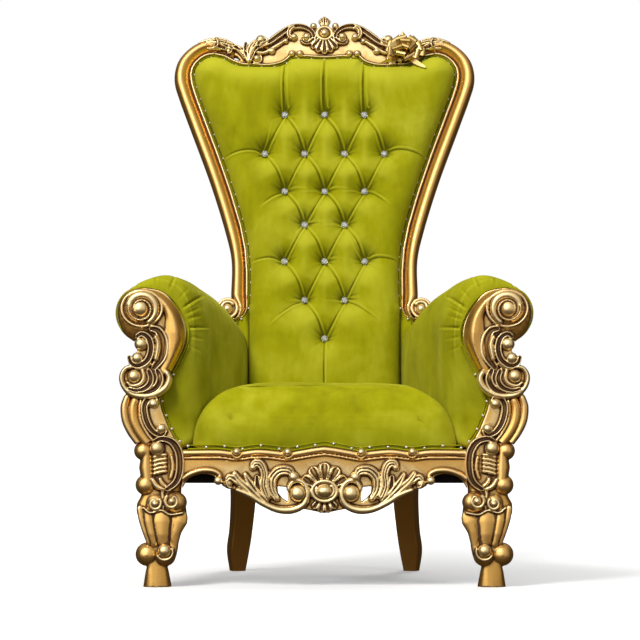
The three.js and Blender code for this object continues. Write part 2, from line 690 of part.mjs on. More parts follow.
/** A star bow of looped ribbon, laid against the crest, with one tail. */
function giftBow() {
  const tiers = [
    { count: 5, reach: 58, rise: 10, from: 18, half: 16 },
    { count: 3, reach: 40, rise: 26, from: 90, half: 16 },
  ];
  const loops = tiers.flatMap(({ count, reach, rise, from, half }) => (
    Array.from({ length: count }, (_, i) => {
      const angle = THREE.MathUtils.degToRad(from + (360 * i) / count);
      const at = (radius, level) => [radius * Math.cos(angle), radius * Math.sin(angle), level];
      return stem([at(3, rise), at(reach, rise + 6)], [6, half], { depths: [7, 10] });
    })
  ));
  const tail = stem([[8, -10, 8], [52, -74, 26]], [7, 9], { depths: 2 });
  const bow = join([...loops, tail, ball(0, 0, 15, 32)]);
  return cut(bow, [block(-200, 200, -200, 200, -60, 0)]).translate(BOW.x, BOW.y, BOW.level);
}

// ---------------------------------------------------------------- assembly

const throne = new THREE.Group();

function group(tilt, y, z) {
  const holder = new THREE.Group();
  holder.rotation.x = THREE.MathUtils.degToRad(tilt);
  holder.position.set(0, y, z);
  throne.add(holder);
  return holder;
}

const frontFrame = group(90, FRONT_PLANE, 0);
const back = group(90 - BACK_LEAN, BACK_FOOT.y, BACK_FOOT.z);
const plan = group(0, 0, 0);

function place(holder, name, geometry, { color, roughness, metalness }) {
  const mesh = new THREE.Mesh(geometry, finish(color, roughness, metalness));
  mesh.name = name;
  holder.add(mesh);
  return mesh;
}

function placePair(holder, name, geometry, look) {
  place(holder, `${name}_right`, geometry, look);
  place(holder, `${name}_left`, mirrored(geometry), look);
}

placePair(frontFrame, 'front_leg', frontLeg(), GOLD);
placePair(frontFrame, 'arm_front', armFront(), GOLD);
place(frontFrame, 'front_rail', frontRail(), GOLD);

place(back, 'crest_rail', crestRail(), GOLD);
placePair(back, 'back_stile', backStile(), GOLD);
place(back, 'back_cushion', backCushion(), VELVET);
place(back, 'back_panel', backPanel(), VELVET);
place(back, 'gift_bow', giftBow(), RIBBON);
for (const { row, column, x, y } of tufts()) {
  const name = `crystal_button_${row + 1}_${column + 1}`;
  place(back, name, crystalButton(), CRYSTAL).position.set(x, y, TUFT_FLOOR + FIT);
}

placePair(plan, 'arm_pad', armPad(), VELVET);
place(plan, 'seat_cushion', seatCushion(), VELVET);
placePair(plan, 'side_rail', sideRail(), GOLD);
placePair(plan, 'rear_leg', rearLeg(), DARK_GOLD);
place(plan, 'rear_rail', rearRail(), DARK_GOLD);
place(plan, 'dust_cover', dustCover(), DUST_CLOTH);

// The origin goes on the floor, under the middle of the whole chair.
const extent = new THREE.Box3().setFromObject(throne, true);
throne.position.set(-(extent.min.x + extent.max.x) / 2, -(extent.min.y + extent.max.y) / 2, -extent.min.z);

export default throne;
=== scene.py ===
"""The looks of a carved and gilded throne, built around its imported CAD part.

Carved wood is drawn in millimetres in two flat frames: the front frame (x to the right, y up, z towards the
viewer) and the leaning frame of the back. Everything is placed in metres in the part's own frame."""

import math

import bmesh
import bpy
import numpy as np
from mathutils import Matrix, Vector
from mathutils.geometry import tessellate_polygon
from mathutils.kdtree import KDTree


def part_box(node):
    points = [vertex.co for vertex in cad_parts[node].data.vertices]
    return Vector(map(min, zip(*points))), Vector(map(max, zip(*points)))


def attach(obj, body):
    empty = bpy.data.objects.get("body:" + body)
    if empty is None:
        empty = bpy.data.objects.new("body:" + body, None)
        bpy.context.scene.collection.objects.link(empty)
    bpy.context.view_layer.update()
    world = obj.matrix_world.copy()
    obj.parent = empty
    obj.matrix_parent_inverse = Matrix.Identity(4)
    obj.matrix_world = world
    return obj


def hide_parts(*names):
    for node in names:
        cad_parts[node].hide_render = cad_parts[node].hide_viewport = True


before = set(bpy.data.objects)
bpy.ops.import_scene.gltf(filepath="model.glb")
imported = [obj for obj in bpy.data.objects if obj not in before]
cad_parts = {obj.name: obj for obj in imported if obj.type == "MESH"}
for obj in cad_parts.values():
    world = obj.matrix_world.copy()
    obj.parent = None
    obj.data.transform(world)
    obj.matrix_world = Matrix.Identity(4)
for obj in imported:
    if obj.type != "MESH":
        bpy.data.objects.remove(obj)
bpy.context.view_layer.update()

MM = 0.001

# ---------------------------------------------------------------- where things are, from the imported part

ARM_PANEL_DEPTH = 26
FRONT_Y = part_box("arm_front_right")[1].y / MM - ARM_PANEL_DEPTH
BACK_LEAN = math.radians(11)
BACK_Y, BACK_Z = FRONT_Y + 540, 450
FRAME_BACK = -25
LEG_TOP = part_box("front_leg_right")[1].z / MM
RAIL_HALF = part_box("front_rail")[1].x / MM
JOINT_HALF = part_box("crest_rail")[1].x / MM
SEAT_LOW, SEAT_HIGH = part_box("seat_cushion")
GOLD_PEACH, GOLD_CHAMPAGNE = 0.0, 1.0  # tints of the gilding: smooth ground, and carving


def from_front(points):
    """World metres of points drawn on the front of the chair."""
    x, y, z = np.asarray(points, float).T
    return np.stack([x, FRONT_Y - z, y], axis=1) * MM


def from_back(points):
    """World metres of points drawn on the leaning back."""
    u, v, w = np.asarray(points, float).T
    y = BACK_Y + v * math.sin(BACK_LEAN) - w * math.cos(BACK_LEAN)
    z = BACK_Z + v * math.cos(BACK_LEAN) + w * math.sin(BACK_LEAN)
    return np.stack([u, y, z], axis=1) * MM


def from_plan(points):
    """World metres of points given in the part's own axes."""
    return np.asarray(points, float) * MM


# ---------------------------------------------------------------- curves

def span(a, b, c, d, steps):
    """The smooth curve from b to c, without its last point, when a comes before them and d after."""
    t = np.linspace(0, 1, steps, endpoint=False)[:, None]
    out, into = (c - a) / 2, (d - b) / 2
    return ((2 * t**3 - 3 * t**2 + 1) * b + (t**3 - 2 * t**2 + t) * out
            + (3 * t**2 - 2 * t**3) * c + (t**3 - t**2) * into)


def smooth(points, steps=10):
    """A smooth curve through the given points, with equally many steps in every span."""
    p = np.asarray(points, float)
    ext = np.vstack([2 * p[0] - p[1], p, 2 * p[-1] - p[-2]])
    return np.vstack([*(span(*four, steps) for four in zip(ext, ext[1:], ext[2:], ext[3:])), p[-1:]])


def closed_curve(points, counts):
    """A smooth closed curve with the given number of steps in each span."""
    p = np.asarray(points, float)
    n = len(p)
    return np.vstack([span(p[k - 1], p[k], p[(k + 1) % n], p[(k + 2) % n], int(counts[k])) for k in range(n)])


def run_of(line):
    """Distance along a polyline at each of its points."""
    steps = np.linalg.norm(np.diff(line, axis=0), axis=1)
    return np.concatenate([[0], np.cumsum(steps)])


def heading_of(line):
    """Unit direction of a line at each of its points."""
    heading = np.gradient(line, axis=0)
    return heading / np.linalg.norm(heading, axis=1, keepdims=True)


def beside_line(line, gap):
    """A flat line moved to its left by the gap."""
    heading = heading_of(line)
    return line + gap * np.stack([-heading[:, 1], heading[:, 0]], axis=1)


def even(line, spacing):
    """The same polyline with points about spacing apart."""
    run = run_of(line)
    count = max(2, int(round(run[-1] / spacing)) + 1)
    at = np.linspace(0, run[-1], count)
    return np.stack([np.interp(at, run, column) for column in line.T], axis=1)


def spiral(x, y, outer, inner, start, sweep, count=24):
    """Points that wind in from the outer radius to the inner one; angles in degrees."""
    t = np.linspace(0, 1, count)
    angle = np.radians(start + sweep * t)
    radius = outer + (inner - outer) * t
    return np.stack([x + radius * np.cos(angle), y + radius * np.sin(angle)], axis=1)


# ---------------------------------------------------------------- closed shapes: (points, faces, tint)

def loft(rings, tint=GOLD_PEACH):
    """A skin over rings of equally many points, closed at both ends."""
    rings = np.asarray(rings, float)
    count, sides = rings.shape[:2]
    i, j = np.meshgrid(np.arange(count - 1), np.arange(sides), indexing="ij")
    a, b = i * sides + j, i * sides + (j + 1) % sides
    faces = np.stack([a, b, b + sides, a + sides], axis=-1).reshape(-1, 4).tolist()
    faces.append(list(range(sides))[::-1])
    faces.append([(count - 1) * sides + k for k in range(sides)])
    return rings.reshape(-1, 3), faces, tint


def slab(outline, back, front, holes=(), tint=GOLD_PEACH):
    """A board with the given outline and holes, between two levels of z."""
    loops = [[(x, y, 0.0) for x, y in loop] for loop in (outline, *holes)]
    flat = np.array([p for loop in loops for p in loop])
    count = len(flat)
    points = np.vstack([flat + [0, 0, back], flat + [0, 0, front]])
    caps = [list(t) for t in tessellate_polygon(loops)]
    faces = [t[::-1] for t in caps] + [[k + count for k in t] for t in caps]
    start = 0
    for loop in loops:
        n = len(loop)
        for k in range(n):
            a, b = start + k, start + (k + 1) % n
            faces.append([a, b, b + count, a + count])
        start += n
    return points, faces, tint


def dome(x, y, rx, ry=None, height=None, level=0.0, tint=GOLD_CHAMPAGNE):
    """An ellipsoid set into the ground, for balls, eyes and bosses."""
    ry = rx if ry is None else ry
    height = rx if height is None else height
    rows, sides = 12, 20
    polar = np.linspace(0.06, math.pi - 0.06, rows)
    around = np.linspace(0, 2 * math.pi, sides, endpoint=False)
    rings = []
    for angle in polar:
        px, py = rx * np.sin(angle) * np.cos(around), ry * np.sin(angle) * np.sin(around)
        rings.append(np.stack([x + px, y + py, np.full(sides, level + height * math.cos(angle))], axis=1))
    return loft(rings, tint)


def section(name, count=3):
    """Half a carver's profile: across from -1 to 1 and height up to 1, closed below at -1."""
    a = np.linspace(-1, 1, 25 if name != "reeds" else 8 * count + 1)
    if name == "round":
        top = np.sqrt(np.clip(1 - a**2, 0, 1))
    elif name == "fillet":  # two rims with a hollow between them
        rim = np.sqrt(np.clip(1 - ((np.abs(a) - 0.7) / 0.3) ** 2, 0, 1))
        top = np.where(np.abs(a) < 0.7, np.maximum(rim, 0.3), rim)
    else:  # reeds side by side over a gently crowned ground
        top = (1 - 0.28 * a**2) - 0.62 * (1 - np.abs(np.sin(math.pi * count * (a + 1) / 2)) ** 0.7)
    return np.vstack([np.stack([a, top], axis=1), [[1, -1], [-1, -1]]])


def spread_along(t, values):
    """Values given at equal steps along a line, or one for all of it, at the shares t of its length."""
    values = np.atleast_1d(values).astype(float)
    if len(values) == 1:
        return np.full(len(t), values[0])
    return np.interp(t, np.linspace(0, 1, len(values)), values)


def stem(path, widths, depths=11.0, level=0.0, profile="round", count=3, tips=(1, 1), tint=GOLD_CHAMPAGNE):
    """A carved band swept along a curve: half widths and depths are given at equal steps along it.
    A tip of 1 rounds that end off, and 0 leaves it square."""
    path = [(*p, 0.0) if len(p) == 2 else p for p in path]
    line = even(smooth(path) if len(path) < 16 else np.asarray(path, float), 2.4)
    run = run_of(line)
    t = run / run[-1]
    w, d = spread_along(t, widths), spread_along(t, depths)
    close = np.ones(len(t))
    for rounded, along in zip(tips, (run, run[-1] - run)):
        if rounded:
            near = np.clip(along / np.maximum(w, 1), 0, 1)
            close *= np.sqrt(np.clip(1 - (1 - near) ** 2, 0.01, 1))
    heading = heading_of(line[:, :2])
    across = np.stack([-heading[:, 1], heading[:, 0], np.zeros(len(line))], axis=1)
    shape = section(profile, count)
    rings = line[:, None, :] + shape[None, :, :1] * (w * close)[:, None, None] * across[:, None, :]
    rings[:, :, 2] += level + shape[None, :, 1] * (d * (0.35 + 0.65 * close))[:, None]
    return loft(rings, tint)


def hoop(x, y, rx, ry, thick, level, start=0, sweep=360, tint=GOLD_CHAMPAGNE):
    """A raised oval ring."""
    angle = np.radians(start + np.linspace(0, sweep, 60))
    path = np.stack([x + rx * np.cos(angle), y + ry * np.sin(angle)], axis=1)
    return stem(path, thick, thick, level, tips=(0, 0), tint=tint)


def volute(x, y, radius, start, sweep, level=4.0, band=None, depth=9.0, eye=0.46):
    """A fillet that winds in to a ball."""
    band = radius * 0.2 if band is None else band
    return [
        stem(spiral(x, y, radius - band, radius * 0.55, start, sweep), [band, band, band * 0.7], depth,
             level),
        dome(x, y, radius * eye, level=level, height=radius * 0.55),
    ]


LOBE_OVERLAP = 1.02  # lobes reach a little into each other


def shell(x, y, inner, outer, start, end, lobes, level=2.0, depths=(5, 10, 8), droop=0.1):
    """Lobes spread like a fan, each with a narrow hollow down its middle."""
    shapes = []
    spread = math.radians(abs(end - start) / lobes)
    for i in range(lobes):
        angle = math.radians(start + (i + 0.5) * (end - start) / lobes)
        reach = outer * (1 - droop * abs((2 * i + 1) / lobes - 1))
        radii = (inner, (inner + reach) / 2, reach)
        path = [(x + r * math.cos(angle), y + r * math.sin(angle)) for r in radii]
        widths = [r * math.tan(spread / 2) * LOBE_OVERLAP for r in radii]
        shapes.append(stem(path, widths, list(depths), level, "fillet", tips=(0, 1)))
    return shapes


def mirrored(shapes):
    return [(points * [-1, 1, 1], [face[::-1] for face in faces], tint) for points, faces, tint in shapes]


def both(shapes):
    return [*shapes, *mirrored(shapes)]


# ---------------------------------------------------------------- meshes

def gather(shapes):
    points, faces, tints, start = [], [], [], 0
    for verts, cells, tint in shapes:
        points.append(verts)
        faces += [[k + start for k in cell] for cell in cells]
        tints.append(np.full(len(verts), tint))
        start += len(verts)
    return np.vstack(points), faces, np.concatenate(tints)


def new_mesh(name, points, faces):
    mesh = bpy.data.meshes.new(name)
    mesh.from_pydata(np.asarray(points).tolist(), [], faces)
    mesh.update()
    return mesh


def new_object(name, data):
    item = bpy.data.objects.new(name, data)
    bpy.context.scene.collection.objects.link(item)
    return item


def points_of(mesh):
    flat = np.zeros(len(mesh.vertices) * 3, np.float32)
    mesh.vertices.foreach_get("co", flat)
    return flat.reshape(-1, 3).astype(float)


def set_points(mesh, points):
    mesh.vertices.foreach_set("co", np.asarray(points, np.float32).ravel())
    mesh.update()


def normals_of(mesh):
    flat = np.zeros(len(mesh.vertices) * 3, np.float32)
    mesh.vertices.foreach_get("normal", flat)
    return flat.reshape(-1, 3).astype(float)


def neighbours(mesh):
    """Both ends of every edge, and how many edges each vertex has."""
    flat = np.zeros(len(mesh.edges) * 2, np.int32)
    mesh.edges.foreach_get("vertices", flat)
    a, b = flat.reshape(-1, 2).T
    ends = np.concatenate([a, b]), np.concatenate([b, a])
    return ends, np.maximum(np.bincount(ends[0], minlength=len(mesh.vertices)), 1)


def relaxed(points, ends, counts, rounds):
    """The points after each has moved half way to the middle of its neighbours, so many times."""
    for _ in range(rounds):
        mean = np.stack([np.bincount(ends[0], points[ends[1], k], len(points)) for k in range(3)], axis=1)
        points = points + 0.5 * (mean / counts[:, None] - points)
    return points


def set_attribute(mesh, name, values):
    layer = mesh.attributes.get(name) or mesh.attributes.new(name, "FLOAT", "POINT")
    layer.data.foreach_set("value", np.asarray(values, np.float32))


def attribute_of(mesh, name):
    values = np.empty(len(mesh.vertices), np.float32)
    mesh.attributes[name].data.foreach_get("value", values)
    return values.astype(float)


def with_modifiers(item):
    """Applies the object's modifiers to its mesh."""
    graph = bpy.context.evaluated_depsgraph_get()
    graph.update()
    mesh = bpy.data.meshes.new_from_object(item.evaluated_get(graph), preserve_all_data_layers=True,
                                           depsgraph=graph)
    item.modifiers.clear()
    old, item.data = item.data, mesh
    bpy.data.meshes.remove(old)
    return mesh


def tree_of(points):
    """A search tree over the points."""
    tree = KDTree(len(points))
    for k, p in enumerate(points):
        tree.insert(p, k)
    tree.balance()
    return tree


def shade_smooth(mesh):
    mesh.polygons.foreach_set("use_smooth", np.ones(len(mesh.polygons), bool))


def mark_hollows(mesh, unit=1.0, fine_rounds=5, broad_rounds=26, fine=0.42, broad=2.2):
    """Stores how far each point lies in a hollow (1) or on an edge (-1): on the gilding for glaze and for
    brighter edges, partly wear and partly painted highlight; on the velvet for painted shade and painted
    light.
    """
    points, normals = points_of(mesh) / unit, normals_of(mesh)
    ends, counts = neighbours(mesh)
    near = relaxed(points, ends, counts, fine_rounds)
    far = relaxed(near, ends, counts, broad_rounds)
    depth = ((near - points) * normals).sum(1) / fine + ((far - points) * normals).sum(1) / broad
    set_attribute(mesh, "hollow", np.clip(depth * 0.5, -1, 1))


def evened(item, voxel):
    """Remeshes the object to even cells and returns its mesh."""
    remesh = item.modifiers.new("Even", "REMESH")
    remesh.mode, remesh.voxel_size = "VOXEL", voxel
    return with_modifiers(item)


def carve(name, shapes, place, voxel, keep):
    """Joins overlapping shapes into one carved body, softened as gesso and paint leave it.
    The voxel is in millimetres, and keep is the share of the faces that stays."""
    points, faces, tints = gather(shapes)
    item = new_object(name, new_mesh(name, points, faces))
    mesh = evened(item, voxel)
    ends, counts = neighbours(mesh)
    set_points(mesh, relaxed(points_of(mesh), ends, counts, 3))
    mark_hollows(mesh)
    tree = tree_of(points)
    tint = np.array([tints[tree.find(p)[1]] for p in points_of(mesh)])
    blurred = relaxed(np.repeat(tint[:, None], 3, axis=1), ends, counts, 4)[:, 0]
    # A tint under 0 darkens the wood as the glaze of a hollow does: it draws the dark lines between the leg's
    # panels, and painted shade on the lower side of the arm's great scroll.
    hollow = attribute_of(mesh, "hollow")
    set_attribute(mesh, "hollow", np.clip(hollow + np.clip(-blurred, 0, 1), -1, 1))
    set_attribute(mesh, "tint", np.clip(blurred, 0, 1))
    thin = item.modifiers.new("Thin", "DECIMATE")
    thin.ratio = keep
    mesh = with_modifiers(item)
    set_points(mesh, place(points_of(mesh)))
    shade_smooth(mesh)
    return item


def mirror_copy(item, name):
    """The same piece on the other side of the chair."""
    mesh = item.data.copy()
    set_points(mesh, points_of(mesh) * [-1, 1, 1])
    mesh.flip_normals()
    return new_object(name, mesh)


def finish_piece(item, material, slot, *nodes):
    item.data.materials.clear()
    item.data.materials.append(material)
    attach(item, "root")
    if nodes:
        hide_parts(*nodes)
    return item


def pair(item, material, slot, node):
    """Finishes the right piece and its mirrored twin, which stand for the same node on each side."""
    twin = mirror_copy(item, item.name.replace("_right", "_left"))
    finish_piece(item, material, slot, f"{node}_right")
    finish_piece(twin, material, slot, f"{node}_left")


# ---------------------------------------------------------------- materials

class Nodes:
    """A short way to build a node material."""

    def __init__(self, name):
        self.material = bpy.data.materials.new(name)
        self.material.use_nodes = True
        self.tree = self.material.node_tree
        self.shader = self.tree.nodes["Principled BSDF"]

    def add(self, kind, inputs=None, **settings):
        node = self.tree.nodes.new(kind)
        for key, value in settings.items():
            setattr(node, key, value)
        for key, value in (inputs or {}).items():
            self.feed(node, key, value)
        return node

    def feed(self, node, key, value):
        if isinstance(value, bpy.types.NodeSocket):
            self.tree.links.new(value, node.inputs[key])
        else:
            node.inputs[key].default_value = value

    def here(self):
        return self.add("ShaderNodeTexCoord").outputs["Object"]

    def noise(self, scale, detail=3.0, rough=0.5, stretch=None, distort=0.0):
        place = self.here()
        if stretch:
            place = self.add("ShaderNodeMapping", {"Vector": place, "Scale": stretch}).outputs[0]
        return self.add("ShaderNodeTexNoise", {"Vector": place, "Scale": scale, "Detail": detail,
                                               "Roughness": rough, "Distortion": distort}).outputs["Fac"]

    def attribute(self, name):
        return self.add("ShaderNodeAttribute", attribute_name=name).outputs["Fac"]

    def ramp(self, value, *stops):
        """Maps a value through (place, colour) stops; a colour may be a grey number."""
        node = self.add("ShaderNodeValToRGB", {"Fac": value})
        elements = node.color_ramp.elements
        while len(elements) < len(stops):
            elements.new(0.5)
        for element, (place, colour) in zip(elements, stops):
            element.position = place
            element.color = (colour,) * 3 + (1,) if isinstance(colour, (int, float)) else (*colour, 1)
        return node.outputs["Color"]

    def mix(self, share, a, b):
        node = self.add("ShaderNodeMix", data_type="RGBA")
        for socket, value in ((node.inputs[0], share), (node.inputs[6], a), (node.inputs[7], b)):
            if isinstance(value, bpy.types.NodeSocket):
                self.tree.links.new(value, socket)
            elif isinstance(value, (int, float)):
                socket.default_value = value
            else:
                socket.default_value = (*value, 1)
        return node.outputs[2]

    def math(self, operation, a, b):
        node = self.add("ShaderNodeMath", operation=operation)
        for socket, value in zip(node.inputs, (a, b)):
            if isinstance(value, bpy.types.NodeSocket):
                self.tree.links.new(value, socket)
            else:
                socket.default_value = value
        return node.outputs[0]

    def bump(self, height, distance, strength=1.0, normal=None):
        inputs = {"Height": height, "Distance": distance, "Strength": strength}
        if normal is not None:
            inputs["Normal"] = normal
        return self.add("ShaderNodeBump", inputs).outputs["Normal"]

    def set(self, **values):
        names = {"colour": "Base Color", "rough": "Roughness", "metal": "Metallic", "normal": "Normal",
                 "sheen": "Sheen Weight", "sheen_rough": "Sheen Roughness", "sheen_tint": "Sheen Tint",
                 "specular": "Specular IOR Level", "coat": "Coat Weight", "coat_rough": "Coat Roughness",
                 "transmission": "Transmission Weight", "ior": "IOR"}
        for key, value in values.items():
            if isinstance(value, tuple) and len(value) == 3:
                value = (*value, 1)
            self.feed(self.shader, names[key], value)
        return self.material


def gilding(name, peach, champagne, amber, glaze, roughness):
    """Gold paint over carved wood: brown glaze that darkens into the hollows, and brighter edges, partly wear
    and partly painted highlight.
    """
    n = Nodes(name)
    hollow = n.attribute("hollow")
    patches = n.noise(11, 4, 0.6)
    fine = n.noise(240, 4, 0.65)
    ground = n.mix(n.attribute("tint"), peach, champagne)
    ground = n.mix(n.ramp(patches, (0.38, 0.0), (0.72, 0.4)), ground, tuple(c * 0.72 for c in peach))
    broken = n.math("ADD", hollow, n.math("MULTIPLY", n.math("SUBTRACT", fine, 0.5), 0.2))
    colour = n.mix(n.ramp(broken, (0.02, 0.0), (0.34, 1.0)), ground, amber)
    colour = n.mix(n.ramp(broken, (0.28, 0.0), (0.62, 1.0)), colour, glaze)
    # Brighter raised edges: partly wear, partly painted highlight.
    worn_and_highlight = n.ramp(n.math("MULTIPLY", hollow, -1.0), (0.15, 0.0), (0.8, 0.7))
    colour = n.mix(worn_and_highlight, colour, (1.0, 0.86, 0.55))
    metal = n.ramp(broken, (0.2, 0.9), (0.75, 0.4))
    rough = n.ramp(patches, (0.3, roughness - 0.06), (0.7, roughness + 0.08))
    chisel = n.bump(n.noise(38, 3, 0.5, stretch=(1, 1, 0.6)), 0.0009, 0.25)
    normal = n.bump(fine, 0.0003, 0.2, chisel)
    return n.set(colour=colour, metal=metal, rough=rough, normal=normal, specular=0.5)


def velvet_cloth(name, deep, mid, bright):
    """Plush velvet: patches of crushed pile, a fine pile and a strong sheen, with painted shade in its
    hollows and painted light on its ridges.
    """
    n = Nodes(name)
    tone_shift = n.noise(5.5, 5, 0.6, distort=0.6)
    streaks = n.noise(30, 3, 0.55, stretch=(1.0, 1.0, 0.25))
    pile = n.noise(1500, 2, 0.5)
    shade = n.math("ADD", n.math("MULTIPLY", tone_shift, 0.72), n.math("MULTIPLY", streaks, 0.28))
    colour = n.ramp(shade, (0.3, deep), (0.5, mid), (0.72, bright))
    # Painted shade: the cloth darkens in its folds and pits, and on the back's downward slopes.
    painted_shade = n.ramp(n.attribute("hollow"), (0.08, 0.0), (0.75, 0.85))
    colour = n.mix(painted_shade, colour, tuple(c * 0.2 for c in deep))
    # Painted light: the cloth brightens on its ridges, and on the back's upward slopes.
    painted_light = n.ramp(n.math("MULTIPLY", n.attribute("hollow"), -1.0), (0.06, 0.0), (0.6, 0.7))
    colour = n.mix(painted_light, colour, bright)
    colour = n.mix(n.ramp(pile, (0.3, 0.0), (0.8, 0.2)), colour, bright)
    normal = n.bump(pile, 0.0004, 0.3, n.bump(streaks, 0.0012, 0.3))
    return n.set(colour=colour, rough=0.9, specular=0.06, sheen=0.22, sheen_rough=0.4,
                 sheen_tint=(0.9, 0.88, 0.2), normal=normal)


def clear_crystal():
    n = Nodes("cut crystal")
    facets = n.ramp(n.noise(90, 0, 0.5), (0.3, 0.03), (0.7, 0.0))
    return n.set(colour=(0.97, 0.98, 1.0), rough=facets, transmission=0.82, ior=1.72, specular=0.9,
                 coat=0.6, coat_rough=0.02)


def foil_ribbon():
    n = Nodes("foil ribbon")
    creases = n.noise(60, 3, 0.6, stretch=(1, 1, 0.3))
    colour = n.ramp(n.noise(22, 3, 0.5), (0.3, (0.55, 0.36, 0.1)), (0.7, (0.8, 0.6, 0.26)))
    rough = n.ramp(creases, (0.3, 0.2), (0.7, 0.32))
    return n.set(colour=colour, metal=0.9, rough=rough, normal=n.bump(creases, 0.0004, 0.3))


def black_cloth():
    n = Nodes("dust cloth")
    warp = n.add("ShaderNodeTexWave", {"Vector": n.here(), "Scale": 380.0, "Distortion": 1.5})
    weft = n.add("ShaderNodeTexWave", {"Vector": n.here(), "Scale": 380.0, "Distortion": 1.5},
                 bands_direction="Y")
    weave = n.math("MAXIMUM", warp.outputs["Fac"], weft.outputs["Fac"])
    colour = n.ramp(weave, (0.2, (0.006, 0.005, 0.004)), (0.9, (0.028, 0.024, 0.02)))
    return n.set(colour=colour, rough=0.95, specular=0.15, normal=n.bump(weave, 0.0004, 0.5))


def plain_floor():
    n = Nodes("floor")
    tone = n.ramp(n.noise(3, 2, 0.5), (0.3, 0.74), (0.7, 0.76))
    from_chair = n.add("ShaderNodeVectorMath", {0: n.here()}, operation="LENGTH").outputs["Value"]
    # The floor glows, which is painted light: weaker near the chair, so that its shadow stays, and full
    # further out.
    glow = n.ramp(n.math("MULTIPLY", from_chair, 0.2), (0.08, 0.3), (0.75, 1.0))
    n.feed(n.shader, "Emission Color", (1, 1, 1, 1))
    n.feed(n.shader, "Emission Strength", glow)
    return n.set(colour=tone, rough=0.9, specular=0.1)


GILT = gilding("gilding", (0.82, 0.475, 0.125), (0.95, 0.74, 0.37), (0.33, 0.19, 0.055), (0.07, 0.022, 0.004),
               0.29)
# A darker copy of the gilding for the rear legs and rail: painted shade for where they stand, under and
# behind the seat.
SHADED_GILT = gilding("shaded gilding", (0.52, 0.28, 0.065), (0.56, 0.32, 0.08), (0.24, 0.1, 0.018),
                    (0.05, 0.016, 0.003), 0.4)
VELVET = velvet_cloth("lime velvet", (0.20, 0.196, 0.001), (0.33, 0.322, 0.003), (0.49, 0.48, 0.03))
CRYSTAL = clear_crystal()
RIBBON = foil_ribbon()
DUST_CLOTH = black_cloth()

# ---------------------------------------------------------------- front frame

def leg_ring(height, x0, x1, depth, sides=28):
    """One level of a leg: a box section with rounded front corners."""
    angle = np.linspace(0, 2 * math.pi, sides, endpoint=False)
    bulge = 0.5 + 0.3 * max(0.0, 1 - height / 60)
    c, s = np.cos(angle), np.sin(angle)
    x = np.sign(c) * np.abs(c) ** bulge
    z = np.sign(s) * np.abs(s) ** bulge
    middle, half = (x0 + x1) / 2, (x1 - x0) / 2
    return np.stack([middle + half * x, np.full(sides, height), 2 - depth / 2 + depth / 2 * z], axis=1)


